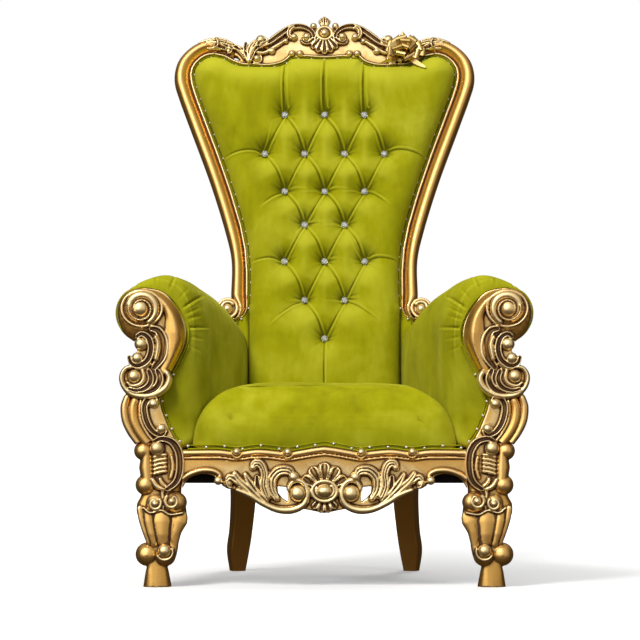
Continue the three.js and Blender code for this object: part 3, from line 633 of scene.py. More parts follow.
def front_leg():
    rows = [
        (0, 409, 485, 62), (4, 409, 484, 62), (40, 416, 478, 56), (56, 418, 475, 54), (72, 400, 484, 60),
        (100, 392, 478, 60), (118, 390, 473, 62), (140, 386, 478, 66), (160, 380, 486, 74),
        (180, 370, 495, 82),
        (196, 369, 502, 88), (212, 371, 503, 88), (224, 373, 501, 86), (240, 382, 492, 78),
        (256, 383, 488, 70), (290, 381, 488, 66), (340, 381, 488, 66), (LEG_TOP, 381, 488, 66),
    ]
    grid = np.array(rows, float)
    fine = smooth(grid, 3)
    core = loft([leg_ring(*row) for row in fine])
    panels = [
        stem([(493, 218), (490, 196), (483, 166), (466, 112)], [8, 9, 8, 6], [5, 6, 6, 4], 0, tint=0.1),
        stem([(470, 214), (469, 196), (465, 166), (452, 108)], [11, 13.5, 12.5, 8], [6, 8, 8, 5], 1,
             tint=0.1),
        stem([(432, 212), (432, 190), (432, 155), (429, 106)], [20, 26, 20, 14], [7, 10, 10, 6], 1, tint=0.1),
        stem([(386, 206), (385, 188), (396, 152), (402, 116), (404, 88)], [18, 23, 16, 13, 9],
             [6, 9, 9, 7, 5], 0, tint=0.1),
        stem([(481, 206), (478, 166), (459, 112)], [2.2, 3, 1.6], 3, 3, tint=-0.9),
        stem([(456, 204), (455, 160), (440, 112)], [2.6, 3.4, 1.8], 3, 4.5, tint=-0.9),
        stem([(410, 200), (412, 156), (416, 112)], [2.6, 3.4, 1.8], 3, 4.5, tint=-0.9),
        stem([(397, 196), (402, 160), (407, 120)], [1.4, 2.2, 1.4], 3, 5.5, tint=-0.9),
    ]
    bracket = [(458, 386), (434, 396), (405, 387), (387, 357), (385, 313), (396, 280), (424, 258)]
    gadroons = [stem([(458, h - 5), (439, h + 1), (418, h + 4)], [4.8, 5.6, 4.8], 12, 1)
                for h in range(350, 296, -11)]
    scrolls = [
        stem(bracket, [6, 9, 12, 12, 12, 10, 7], 13, 3, "fillet", tint=0.8),
        stem([(408, 352), (404, 318), (412, 288)], [5, 6, 5], 8, 1, tint=0.1),
        dome(446, 370, 20, level=5, height=18),
        stem([(460, 292), (448, 270), (426, 260)], [6, 8, 5], 12, 1),
        stem([(440, 294), (433, 278), (418, 266)], [5, 6, 4], 12, 1),
        dome(483, 363, 26, level=-14, tint=0.1),
        dome(477, 272, 28, level=-14, tint=0.1),
        stem([(474, 362), (474, 318), (471, 276)], [14, 21, 16], 22, -12, tint=0.1, tips=(0, 0)),
    ]
    capital = [
        dome(398, 226, 32, 29, 26, -4, tint=0.15),
        *volute(406, 230, 24, 60, -330, level=14, depth=9),
        dome(451, 224, 24, 24, 15, -1, tint=0.3),
        *volute(451, 223, 21, 120, 340, level=7, depth=8),
        stem([(484, 214), (464, 199), (434, 205), (410, 194), (374, 199)], 3, 7, 6),
        stem([(430, 262), (432, 246), (427, 224), (430, 208)], [6, 4, 4, 3], 7, 2),
    ]
    ankle = [
        dome(473, 87, 32, level=-20, tint=0.1),
        dome(425, 84, 29, level=-10, height=26, tint=0.1),
        dome(426, 98, 18, level=10, height=16),
        stem(spiral(426, 95, 23, 21, 150, 190), 3.4, 7, 11),
    ]
    flat_top = [slab([(381, 330), (488, 330), (488, LEG_TOP), (381, LEG_TOP)], -60, -2)]
    return [core, *panels, *gadroons, *scrolls, *capital, *ankle, *flat_top]


def arm_outline():
    """Outline of the carved arm panel, from its inner foot around the great scroll."""
    inner = [(391, 385), (404, 402), (419, 432), (436, 478), (437, 512), (412, 562), (383, 618), (367, 662),
             (371, 706), (399, 756), (436, 789), (486, 799)]
    roll = [(486, 799), (528, 785), (551, 752), (552, 714), (534, 680), (506, 658)]
    outer = [(500, 630), (512, 603), (508, 588), (530, 584), (541, 562), (533, 535), (514, 518), (532, 512),
             (543, 482), (540, 446), (523, 410), (500, 385)]
    return [smooth(line, 5) for line in (inner, roll, outer)]


def arm_body():
    """The plain roll of the arm: a ridge near the scroll, from which the wood turns away to the velvet."""
    edge = [(476, 796), (440, 786), (404, 757), (379, 712), (372, 665), (387, 622), (415, 566), (434, 528)]
    ridge = [(470, 786), (436, 768), (412, 736), (399, 702), (396, 655), (408, 612), (430, 566), (443, 530)]
    inside = [(466, 776), (436, 752), (424, 724), (424, 700), (424, 660), (430, 612), (446, 566), (452, 532)]
    lines = [smooth(line, 6) for line in (edge, ridge, inside)]
    tall = np.interp(np.linspace(0, 1, len(lines[0])), [0, 0.15, 0.5, 0.85, 1], [9, 13, 17, 12, 7])
    rings = []
    for a, b, c, high in zip(*lines, tall):
        profile = [(a, -12), (a, -7), (a * 0.8 + b * 0.2, -0.1 * high), (a * 0.55 + b * 0.45, 0.42 * high),
                   (a * 0.25 + b * 0.75, 0.8 * high), (b, high), (b * 0.5 + c * 0.5, 0.93 * high),
                   (c, 0.62 * high), (c, -12)]
        rings.append([(*place, level) for place, level in profile])
    return loft(rings, GOLD_PEACH)


def arm_front():
    inner, roll, outer = arm_outline()
    beside_roll = np.clip((inner[:, 1:] - 520) / 40, 0, 1) * np.clip((780 - inner[:, 1:]) / 20, 0, 1)
    inner = inner + beside_roll * [4.0, 0]
    outline = np.vstack([inner[:-1], roll, outer])
    eye = np.array((487.0, 740.0))
    drawn_in = np.where(outline[:, 1:] > 655, eye + 0.72 * (outline - eye), outline)
    body = [
        slab(outline, -ARM_PANEL_DEPTH, -17),
        slab(drawn_in, -ARM_PANEL_DEPTH, -4),
        arm_body(),
        dome(499, 731, 54, 66, 23, -18, tint=0),
        # This dome sits lower and to the left and is tinted under 0: painted shade on the lower side of the
        # scroll's body.
        dome(494, 722, 57, 67, 23, -19, tint=-0.3),
    ]
    great_scroll = [
        dome(487, 743, 57, 51, 19, -2, tint=0.3),
        hoop(487, 743, 54, 48, 3.4, 10, tint=0.2),
        stem(spiral(488, 743, 41, 30, 250, -330), [7, 11, 12, 9], [10, 12, 12, 10], 8),
        stem(spiral(489, 742, 34, 17, 20, -430, 40), [3, 3, 3, 2.4], 9, 15, tint=0.4),
        dome(491, 742, 24, level=7, height=20),
    ]
    upper = [
        stem([(504, 664), (488, 675), (469, 664), (462, 636), (471, 606), (494, 590), (514, 596), (522, 618)],
             [6, 8, 10, 10, 10, 9, 7, 5], 14, 3, "fillet"),
        dome(489, 648, 18, level=6, height=16),
        dome(499, 611, 15, level=8, height=14),
        stem([(468, 690), (444, 684), (430, 656), (433, 616), (458, 580)], [8, 13, 15, 14, 9], 13, 2,
             "fillet"),
        stem([(452, 672), (443, 646), (450, 602)], [5, 8, 6], 13, 8),
        stem([(462, 600), (480, 584), (500, 582)], [5, 7, 4], 11, 3),
    ]
    cup = [
        dome(480, 554, 62, 38, 16, -4, tint=0.4),
        stem([(486, 582), (481, 560), (490, 543), (512, 537), (528, 548)], [4, 6, 6, 5, 3], 10, 8),
        stem([(470, 582), (462, 556), (472, 534), (498, 524), (526, 530)], [7, 9, 9, 7, 4], 11, 7, "fillet"),
        stem([(447, 582), (438, 556), (449, 531), (478, 517), (512, 515)], [8, 11, 11, 9, 5], 12, 5,
             "fillet"),
        stem([(423, 578), (414, 556), (423, 533), (448, 515), (480, 509), (514, 515), (535, 536), (541, 562),
              (530, 583), (510, 588)], [7, 9, 10, 10, 10, 9, 8, 7, 6, 5], 14, 3, "round"),
        dome(507, 562, 18, level=10, height=15),
    ]
    reeds = [
        stem([(524, 514), (533, 482), (530, 445), (516, 412), (497, 384)], [8, 11, 11, 10, 9], 11, -1, tint=0,
             tips=(1, 0)),
        stem([(502, 508), (510, 477), (507, 443), (493, 412), (472, 384)], [10, 13, 14, 14, 13], 12, 0,
             tint=0, tips=(1, 0)),
        stem([(489, 500), (493, 474), (488, 440), (473, 411), (455, 388)], [4, 5, 6, 6, 5], 11, 0, tint=0.2),
    ]
    inner_scroll = [
        stem([(446, 486), (452, 502), (470, 501), (480, 478), (473, 441), (456, 415), (434, 406), (420, 422)],
             [6, 8, 10, 10, 10, 9, 7, 5], 13, 4, "fillet"),
        dome(455, 489, 14, level=9, height=14),
        dome(434, 423, 14, level=8, height=14),
    ]
    return [*body, *great_scroll, *upper, *cup, *reeds, *inner_scroll]


RAIL_WAVE = [(0, 376), (30, 372), (64, 366), (98, 361), (134, 365), (180, 368), (234, 362), (285, 367),
             (366, 366)]  # the front rail's waved upper edge, from its middle


def rail_outline():
    """Half outline of the front rail: its waved top, the arch beside the leg and the apron's edge."""
    top = smooth([*RAIL_WAVE[:-1], (RAIL_HALF, 366)], 4)
    arch = smooth([(RAIL_HALF, 262), (362, 289), (330, 301), (300, 298), (281, 284), (272, 270)], 4)
    apron = smooth([(258, 262), (225, 258), (196, 243), (160, 219), (128, 206), (91, 202), (60, 208),
                    (26, 202), (0, 197)], 4)
    half = np.vstack([top, arch, apron])
    return np.vstack([half, half[-2:0:-1] * [-1, 1]])


def front_rail():
    hole = [(99, 266), (126, 269), (124, 250), (112, 236), (97, 226)]
    ground = slab(rail_outline(), -36, -2, [hole, [(-x, y) for x, y in hole[::-1]]])
    wave = [*((x, y - 9) for x, y in RAIL_WAVE[:-1]), (380, 357)]
    bead = [(x, y - 13) for x, y in wave]
    mouldings = [
        stem(wave, 8.5, 8, -3, tips=(0, 0), tint=0),
        stem(bead, 2.2, 6, -3, tips=(0, 0), tint=0),
        stem([(277, 288), (281, 302), (301, 311), (330, 311), (360, 301), (380, 288)], [5, 6, 7, 7, 7, 7], 7,
             -1, tips=(1, 0), tint=0.2),
        dome(283, 284, 12, level=3, height=12),
        dome(98, 360, 11, level=2, height=12),
        stem(spiral(98, 358, 15, 13, 190, 200), 2.4, 5, 1, tint=0.2),
        dome(234, 361, 11, level=2, height=12),
        stem(spiral(234, 359, 15, 13, 190, 200), 2.4, 5, 1, tint=0.2),
    ]
    rim = [(98, 256), (90, 276), (70, 285), (52, 273), (45, 250), (55, 222), (84, 207), (122, 207),
           (160, 222), (198, 245), (238, 262)]
    leaves = [
        stem(rim, [5, 7, 8, 9, 10, 11, 10, 9, 9, 8, 6], 13, 3, "round"),
        dome(71, 250, 23, level=7, height=19),
        dome(82, 294, 14, level=6, height=13),
        stem([(84, 300), (98, 311), (122, 309), (140, 288), (139, 258), (122, 230)], [11, 14, 14, 14, 12, 7],
             12, 4, "reeds", 3),
        stem([(190, 316), (186, 330), (170, 327), (160, 302), (162, 268), (148, 232)],
             [9, 12, 11, 11, 12, 8], 13, 4, "reeds", 3),
        dome(190, 319, 10, level=6, height=11),
        stem([(148, 308), (149, 276), (138, 236)], [5, 9, 8], 11, 3, "fillet"),
        stem([(180, 300), (177, 268), (158, 230)], [6, 9, 8], 12, 3, "fillet"),
        stem([(214, 306), (201, 282), (180, 254), (150, 224)], [5, 11, 10, 6], 12, 4, "reeds", 2),
        stem([(243, 308), (226, 284), (204, 264), (168, 232)], [6, 11, 10, 6], 12, 4, "reeds", 2),
        stem([(262, 282), (252, 294), (230, 280), (198, 250)], [7, 10, 10, 6], 12, 3, "reeds", 2),
        dome(257, 276, 13, level=2, height=12),
        stem([(262, 284), (256, 268), (244, 266)], 2.6, 8, 9),
    ]
    shapes = [ground, *both([*mouldings, *leaves])]
    shapes += shell(0, 258, 28, 74, 16, 164, 5, 3, (6, 11, 9))
    shapes += shell(0, 254, 24, 59, 224, 316, 4, 2, (6, 9, 8))
    shapes += [
        dome(0, 256, 38, 32, 13, 2, tint=0.6),
        hoop(0, 256, 33, 27, 5, 10),
        hoop(1, 257, 24, 18.5, 2.2, 13, 150, 260),
        dome(0, 256, 21, 16, 15, 9),
    ]
    return shapes


# ---------------------------------------------------------------- the back's frame

STILE_ROWS = [((268, 345), (219, 345)), ((267, 448), (221, 450)), ((286, 539), (238, 553)),
              ((331, 685), (286, 710)), ((390, 846), (345, 872)), ((424, 940), (376, 958))]
SHOULDER_ROWS = [((437, 990), (385, 1005)), ((429, 1040), (377, 1033)), ((402, 1078), (358, 1053)),
                 ((362, 1105), (340, 1062)), ((JOINT_HALF, 1114), (JOINT_HALF, 1065))]
CREST_EDGE = [(JOINT_HALF, 1065), (288, 1057), (246, 1038), (150, 1035), (118, 1043), (92, 1059), (0, 1058)]
OPENING_FOOT = -60
EDGE_STEPS = 12
OUTER_EDGE = smooth([outer for outer, _ in STILE_ROWS + SHOULDER_ROWS], EDGE_STEPS)
INNER_EDGE = smooth([inner for _, inner in STILE_ROWS + SHOULDER_ROWS], EDGE_STEPS)
CREST_LINE = smooth(CREST_EDGE, EDGE_STEPS)

# Outer edge (0) to inner edge (1) and level: thin facet, broad roll, cove, bead.
MOULDING = np.array([
    (0, FRAME_BACK), (0, 2), (0.015, 9), (0.05, 14.5), (0.11, 19.5), (0.2, 24), (0.31, 26.5), (0.43, 26),
    (0.54, 23), (0.64, 18.6), (0.73, 13.6), (0.79, 9), (0.82, 5.5), (0.845, 6.5), (0.87, 12), (0.9, 16.2),
    (0.935, 17.4), (0.965, 15.8), (0.99, 11), (1, 6), (1, FRAME_BACK)])


def moulded(outer, inner, height=None):
    """The frame's moulding between two edges; height scales its levels at each point."""
    height = np.ones(len(outer)) if height is None else height
    across, level = MOULDING.T
    rings = outer[:, None, :] + across[None, :, None] * (inner - outer)[:, None, :]
    levels = np.where(level > 0, level * height[:, None], level)
    return loft(np.concatenate([rings, levels[:, :, None]], axis=2), GOLD_PEACH)


def height_on_lean(z, level):
    """Height along the lean at which a point stands at a given height off the floor."""
    return (z - BACK_Z - level * math.sin(BACK_LEAN)) / math.cos(BACK_LEAN)


def stile_moulding():
    outer = np.vstack([smooth([(268, 277), (254, 283), (248, 298), (250, 318), (263, 335)], 4), OUTER_EDGE])
    inner = np.vstack([smooth([(257, 273), (241, 279), (229, 289), (221, 305), (218.5, 325)], 4), INNER_EDGE])
    inner = inner + 0.4 * (outer - inner) / np.linalg.norm(outer - inner, axis=1, keepdims=True)
    return moulded(outer, inner, np.interp(np.arange(len(outer)), [0, 4, 12], [0.5, 0.8, 1]))


def stile_post():
    foot = height_on_lean(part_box("rear_leg_right")[1].z / MM + 0.3, 0)
    ring = np.array([(222, FRAME_BACK), (266, FRAME_BACK), (266, 1), (222, 1)], float)
    return loft([np.stack([ring[:, 0], np.full(4, v), ring[:, 1]], axis=1) for v in (foot, 330)])


def stile_scroll():
    """The scroll that ends the stile's moulding above the arm."""
    return [
        dome(277, 308, 31, 31, 12, 10, tint=0.2),
        slab([(277 + 30 * math.cos(a), 308 + 30 * math.sin(a)) for a in np.linspace(0, 6.28, 40)[:-1]], -22,
             11),
        hoop(277, 308, 27, 27, 4, 19, tint=0.3),
        stem(spiral(278, 308, 20, 11, 160, -330), [5, 5, 4], 9, 18),
        dome(277, 307, 14, level=17, height=14),
    ]


def stile():
    """The whole stile: post, moulding with its bead, and scroll; the leaf at the shoulder is carved with the
    crest rail.
    """
    bead = [tuple(place) for place in (INNER_EDGE * 0.925 + OUTER_EDGE * 0.075)[::8]]
    return [stile_post(), stile_moulding(), *stile_scroll(), stem(bead, 3.0, 4, 13.5, tint=0.6)]


def shoulder_leaf():
    """Acanthus laid over the joint between stile and crest."""
    return [
        stem([(368, 1098), (350, 1103), (324, 1106), (296, 1102), (264, 1091)], [2, 6, 10, 10, 6],
             [7, 11, 14, 13, 9], 18, "reeds", 3),
        stem([(350, 1094), (330, 1093), (306, 1087), (282, 1078)], [2, 6, 9, 6], 12, 17, "fillet"),
        stem([(344, 1080), (322, 1082), (300, 1078)], [3, 5, 4], 11, 15),
        stem([(318, 1112), (310, 1098), (314, 1082)], [3, 4, 3], 13, 21),
        *volute(279, 1075, 13, 20, 300, level=17, depth=9),
        stem([(290, 1098), (266, 1090), (244, 1072), (230, 1050)], [6, 7, 7, 5], 12, 17, "fillet"),
    ]


def crest_rail():
    under = CREST_LINE + [0, -2]
    over = smooth([(0, 1150), (34, 1146), (58, 1150), (82, 1151), (106, 1138), (132, 1118), (160, 1096),
                   (196, 1080), (236, 1076), (262, 1093), (290, 1106), (JOINT_HALF, 1114)], 5)
    under[-1] = (-1.5, under[-1, 1])
    over[0] = (-1.5, over[0, 1])
    half = np.vstack([under, over])
    holes = [[(274, 1056), (268, 1066), (254, 1062), (242, 1049), (256, 1050)],
             [(206, 1070), (192, 1080), (172, 1086), (164, 1084), (178, 1075), (194, 1072)]]
    ground = slab(half, FRAME_BACK + 3, 9, holes)
    shoulder_outer = smooth([(JOINT_HALF, 1114), (290, 1106), (266, 1094)], 6)
    shoulder_inner = smooth([(JOINT_HALF, 1065), (288, 1057), (264, 1046)], 6)
    shoulder = moulded(shoulder_outer, shoulder_inner, np.linspace(1, 0.62, len(shoulder_outer)))
    main_stem = [(194, 1088), (162, 1101), (134, 1121), (108, 1140), (82, 1149), (56, 1146), (36, 1132),
                 (31, 1115), (42, 1101), (60, 1101), (67, 1112)]
    carving = [
        stem(main_stem, [6, 8, 9, 9, 9, 9, 8, 7, 6.5, 5.5, 4], [12, 14, 14, 14, 14, 14, 14, 13, 13, 12, 11],
             13, "fillet"),
        dome(52, 1118, 12, level=17, height=14),
        stem([(160, 1112), (132, 1133), (104, 1150), (80, 1155)], [3, 4, 4, 3], 12, 10),
        stem([(86, 1150), (101, 1139), (104, 1122), (94, 1110)], [6, 8, 8, 5], 13, 17, "reeds", 2),
        dome(89, 1116, 11, level=20, height=13),
        dome(113, 1105, 8, level=17, height=10),
        dome(32, 1153, 10, level=8, height=12),
        stem([(200, 1071), (176, 1069), (156, 1080), (138, 1091), (118, 1104)], [5, 5, 6, 6, 4], 11, 14,
             "round"),
        dome(153, 1074, 10, level=17, height=11),
        dome(197, 1052, 11, level=16, height=13),
        stem(spiral(197, 1052, 15, 13, 100, 250), 2.2, 8, 12),
        dome(186, 1110, 14, level=13, height=15),
        stem([(198, 1090), (172, 1094), (166, 1106), (178, 1118)], [5, 6, 5, 3], 11, 13),
        stem([(221, 1040), (232, 1066), (250, 1082), (284, 1084)], [5, 8, 8, 4], 13, 15, "fillet"),
        stem([(220, 1040), (230, 1072), (229, 1102)], [5, 8, 4], 13, 17, "fillet"),
        stem([(222, 1038), (218, 1066), (210, 1088), (196, 1107)], [5, 9, 13, 8], 13, 17, "reeds", 3),
        stem([(218, 1040), (208, 1070), (196, 1084), (178, 1088)], [4, 7, 8, 4], 13, 17, "fillet"),
        stem([(212, 1037), (180, 1034), (150, 1036), (122, 1044), (104, 1058), (98, 1066)], 3, 8, 11,
             tint=0.3),
        dome(95, 1068, 9, level=15, height=10),
        dome(72, 1068, 9, level=15, height=10),
        stem([(74, 1060), (50, 1061), (24, 1059), (0, 1058)], 3, 8, 11, tips=(1, 0), tint=0.3),
        stem([(JOINT_HALF, 1067), (290, 1060), (264, 1046), (236, 1037), (212, 1036)], 3, 8, 11, tips=(0, 1),
             tint=0.3),
        *shoulder_leaf(),
    ]
    shapes = both([ground, shoulder, *carving])
    shapes += shell(0, 1127, 16, 61, 200, 340, 7, 15, (6, 11, 9), droop=0.12)
    shapes += shell(0, 1132, 8, 50, 62, 118, 5, 11, (8, 10, 7), droop=0.2)
    shapes += [
        dome(0, 1128, 25, 22, 12, 12, tint=0.6),
        hoop(0, 1128, 22, 19, 4.2, 20),
        dome(0, 1128, 13, level=20, height=14),
    ]
    return shapes


# ---------------------------------------------------------------- sweeps in space

def tube(line, radius, sides=8):
    """A round cord along a line in space, in millimetres."""
    line = np.asarray(line, float)
    heading = heading_of(line)
    side = np.cross(heading[0], (0.31, 0.2, 0.93))
    rings = []
    angle = np.linspace(0, 2 * math.pi, sides, endpoint=False)
    for p, h in zip(line, heading):
        side = side - h * (side @ h)
        side /= np.linalg.norm(side)
        other = np.cross(h, side)
        rings.append(p + radius * (np.cos(angle)[:, None] * side + np.sin(angle)[:, None] * other))
    return loft(rings)


def stud(place, normal, radius, height, sides=10):
    """A domed nail head set on a surface."""
    normal = np.asarray(normal, float) / np.linalg.norm(normal)
    side = np.cross(normal, (0.3, 0.9, 0.2))
    side /= np.linalg.norm(side)
    other = np.cross(normal, side)
    angle = np.linspace(0, 2 * math.pi, sides, endpoint=False)
    rings = []
    for polar in (1.75, 1.4, 1.0, 0.6, 0.18):
        around = np.cos(angle)[:, None] * side + np.sin(angle)[:, None] * other
        ring = math.sin(polar) * around * radius
        rings.append(np.asarray(place) + ring + normal * height * math.cos(polar))
    return loft(rings)


def plain_piece(name, shapes, place, material, slot, *nodes, smooth_shading=True, hollow=0.0, crease=None):
    """An object made of closed shapes as they are, shaded smooth up to the crease angle."""
    points, faces, tints = gather(shapes)
    mesh = new_mesh(name, place(points), faces)
    set_attribute(mesh, "hollow", np.full(len(points), hollow))
    set_attribute(mesh, "tint", tints)
    if smooth_shading:
        shade_smooth(mesh)
    if crease:
        mesh.set_sharp_from_angle(angle=math.radians(crease))
    return finish_piece(new_object(name, mesh), material, slot, *nodes)


# ---------------------------------------------------------------- tufted back

TUFT_PITCH = 115
TUFT_ROWS = [(879, 3), (762, 4), (650, 3), (551, 2), (443, 3), (329, 2), (217, 1)]
CUSHION_BACK, CUSHION_RIM, CUSHION_CROWN, TUFT_DEPTH = -6, 8, 42, 25
# Rounds of blur of the back's painted slope light and shade.
SLOPE_SHADE_BLUR = 30
PILLOW = 48  # rise of the stuffing between the buttons, over the rim
OPENING_HALF = 221.7  # half width of the opening between the posts
SCROLL_TOP = 330  # height below which the scrolls at the stiles' feet leave the cushion its full width
BUTTONS = [(row, column, (column - (count - 1) / 2) * TUFT_PITCH, height)
           for row, (height, count) in enumerate(TUFT_ROWS) for column in range(count)]
CORNER = 8 * EDGE_STEPS


def opening_sides():
    """The right half of the frame's opening: up its side, then over the top to the middle."""
    foot = smooth([(254, 262), (251, 276), (240, 287), (229, 302), (221, 322)], 3)
    side = np.vstack([[[254, OPENING_FOOT], [254, 160]], foot, INNER_EDGE[1:CORNER + 1]])
    top = np.vstack([INNER_EDGE[CORNER:-1], CREST_LINE])
    return side, top


def gathered(count, pull):
    """Steps from 0 to 1 that lie closer together in the middle."""
    t = np.linspace(0, 1, count)
    return t + pull * np.sin(2 * math.pi * t) / (2 * math.pi)


def patch(columns, rows, pull=0.0):
    """A grid of points that fills the frame's opening."""
    side, top = opening_sides()
    whole_top = np.vstack([top[:-1] * [-1, 1], top[::-1]])
    s, t = gathered(columns, pull), gathered(rows, pull / 2)

    def at(line, share):
        run = run_of(line)
        return np.stack([np.interp(share * run[-1], run, k) for k in line.T], axis=1)

    right, left = at(side, t), at(side * [-1, 1], t)
    upper = at(whole_top, s)
    foot = side[0, 0]
    lower = np.stack([foot * (2 * s - 1), np.full(columns, float(OPENING_FOOT))], axis=1)
    S, T = s[None, :, None], t[:, None, None]
    grid = (1 - T) * lower[None] + T * upper[None] + (1 - S) * left[:, None] + S * right[:, None]
    grid -= (1 - S) * (1 - T) * lower[0] + S * (1 - T) * lower[-1]
    grid -= (1 - S) * T * upper[0] + S * T * upper[-1]
    return grid


def edge_distance(flat):
    """Distance of points of the drawing to the edge of the frame's opening."""
    side, top = opening_sides()
    half = np.vstack([side, top[1:]])
    return np.minimum(distance_to(flat, half)[0], distance_to(flat, half * [-1, 1])[0])


def panel_faces(columns, rows):
    """Faces of a grid of points, of walls from its edge to a loop of further points and of a cap on them.
    Also says which points of the grid the loop runs along."""
    index = np.arange(rows * columns).reshape(rows, columns)
    cells = np.stack([index[:-1, :-1], index[:-1, 1:], index[1:, 1:], index[1:, :-1]], axis=-1)
    loop = np.concatenate([index[0], index[1:, -1], index[-1, -2::-1], index[-2:0:-1, 0]])
    first, count = rows * columns, len(loop)
    walls = [[loop[k], first + k, first + (k + 1) % count, loop[(k + 1) % count]] for k in range(count)]
    return [*cells.reshape(-1, 4).tolist(), *walls, [first + k for k in range(count)][::-1]], loop


def distance_to(points, line):
    """Distance of points to a polyline, the share of its length there, and the side it is on."""
    line = np.asarray(line, float)
    run = run_of(line)
    best = np.full(len(points), 1e9)
    share, hand = np.zeros(len(points)), np.zeros(len(points))
    for k, (a, b) in enumerate(zip(line, line[1:])):
        d = b - a
        t = np.clip(((points - a) @ d) / (d @ d), 0, 1)
        gap = points - (a + t[:, None] * d)
        far = np.hypot(gap[:, 0], gap[:, 1])
        nearer = far < best
        best = np.where(nearer, far, best)
        share = np.where(nearer, (run[k] + t * (run[k + 1] - run[k])) / run[-1], share)
        hand = np.where(nearer, np.sign(d[0] * gap[:, 1] - d[1] * gap[:, 0]), hand)
    return best, share, hand


def pleats():
    """Folds of the tufting: line, and depth at its start and at its end."""
    folds = []
    for row, _, x, y in BUTTONS:
        for lower_row, _, x2, y2 in BUTTONS:
            if lower_row == row + 1 and abs(x - x2) < TUFT_PITCH * 0.6:
                out = 6 if x2 > x else 1.5
                folds.append(([(x, y), ((x + x2) / 2 + out, (y + y2) / 2 + out / 2), (x2, y2)], 10, 11))
    for x in (-TUFT_PITCH, 0, TUFT_PITCH):
        folds.append(([(x, 879), (x - 3, 920), (x - 4, 980), (x + 2, 1064)], 17, 7))
        folds.append(([(x + 15, 905), (x + 12, 960), (x + 14, 1030)], 2.5, 0.5))
    folds.append(([(0, 217), (-2, 120), (0, OPENING_FOOT)], 13, 10))
    for side in (-1, 1):
        folds += [
            ([(side * 172, 762), (side * 206, 772), (side * 256, 764), (side * 318, 738)], 9, 4),
            ([(side * 115, 443), (side * 150, 452), (side * 190, 448), (side * 222, 440)], 8, 5),
            ([(side * 115, 650), (side * 146, 636), (side * 190, 600)], 8, 0),
            ([(side * 57, 329), (side * 100, 306), (side * 166, 252)], 8, 0),
            ([(side * 172, 762), (side * 158, 800), (side * 148, 846)], 5, 0),
            ([(side * 115, 443), (side * 92, 480), (side * 57, 551)], 3, 3),
        ]
    for x, y, reach in ((0, 650, 60), (115, 650, -60), (57, 551, -57), (-57, 551, 57), (-115, 650, 60),
                        (0, 650, -60), (57, 329, 45), (-57, 329, -45), (57, 329, -50), (0, 443, 50)):
        folds.append(([(x, y), (x + reach / 2, y + 3), (x + reach, y)], 5.0, 0.6))
    return folds


def swollen(edge, flat_rim=7, run=74):
    """Share of the stuffing's full height at a distance in from the frame."""
    share = np.clip((edge - flat_rim) / run, 0, 1)
    return np.sqrt(1 - (1 - share) ** 2.2)


def blended(a, b):
    """The deeper of two hollows, with no crease where one takes over from the other."""
    return (a ** 4 + b ** 4) ** 0.25


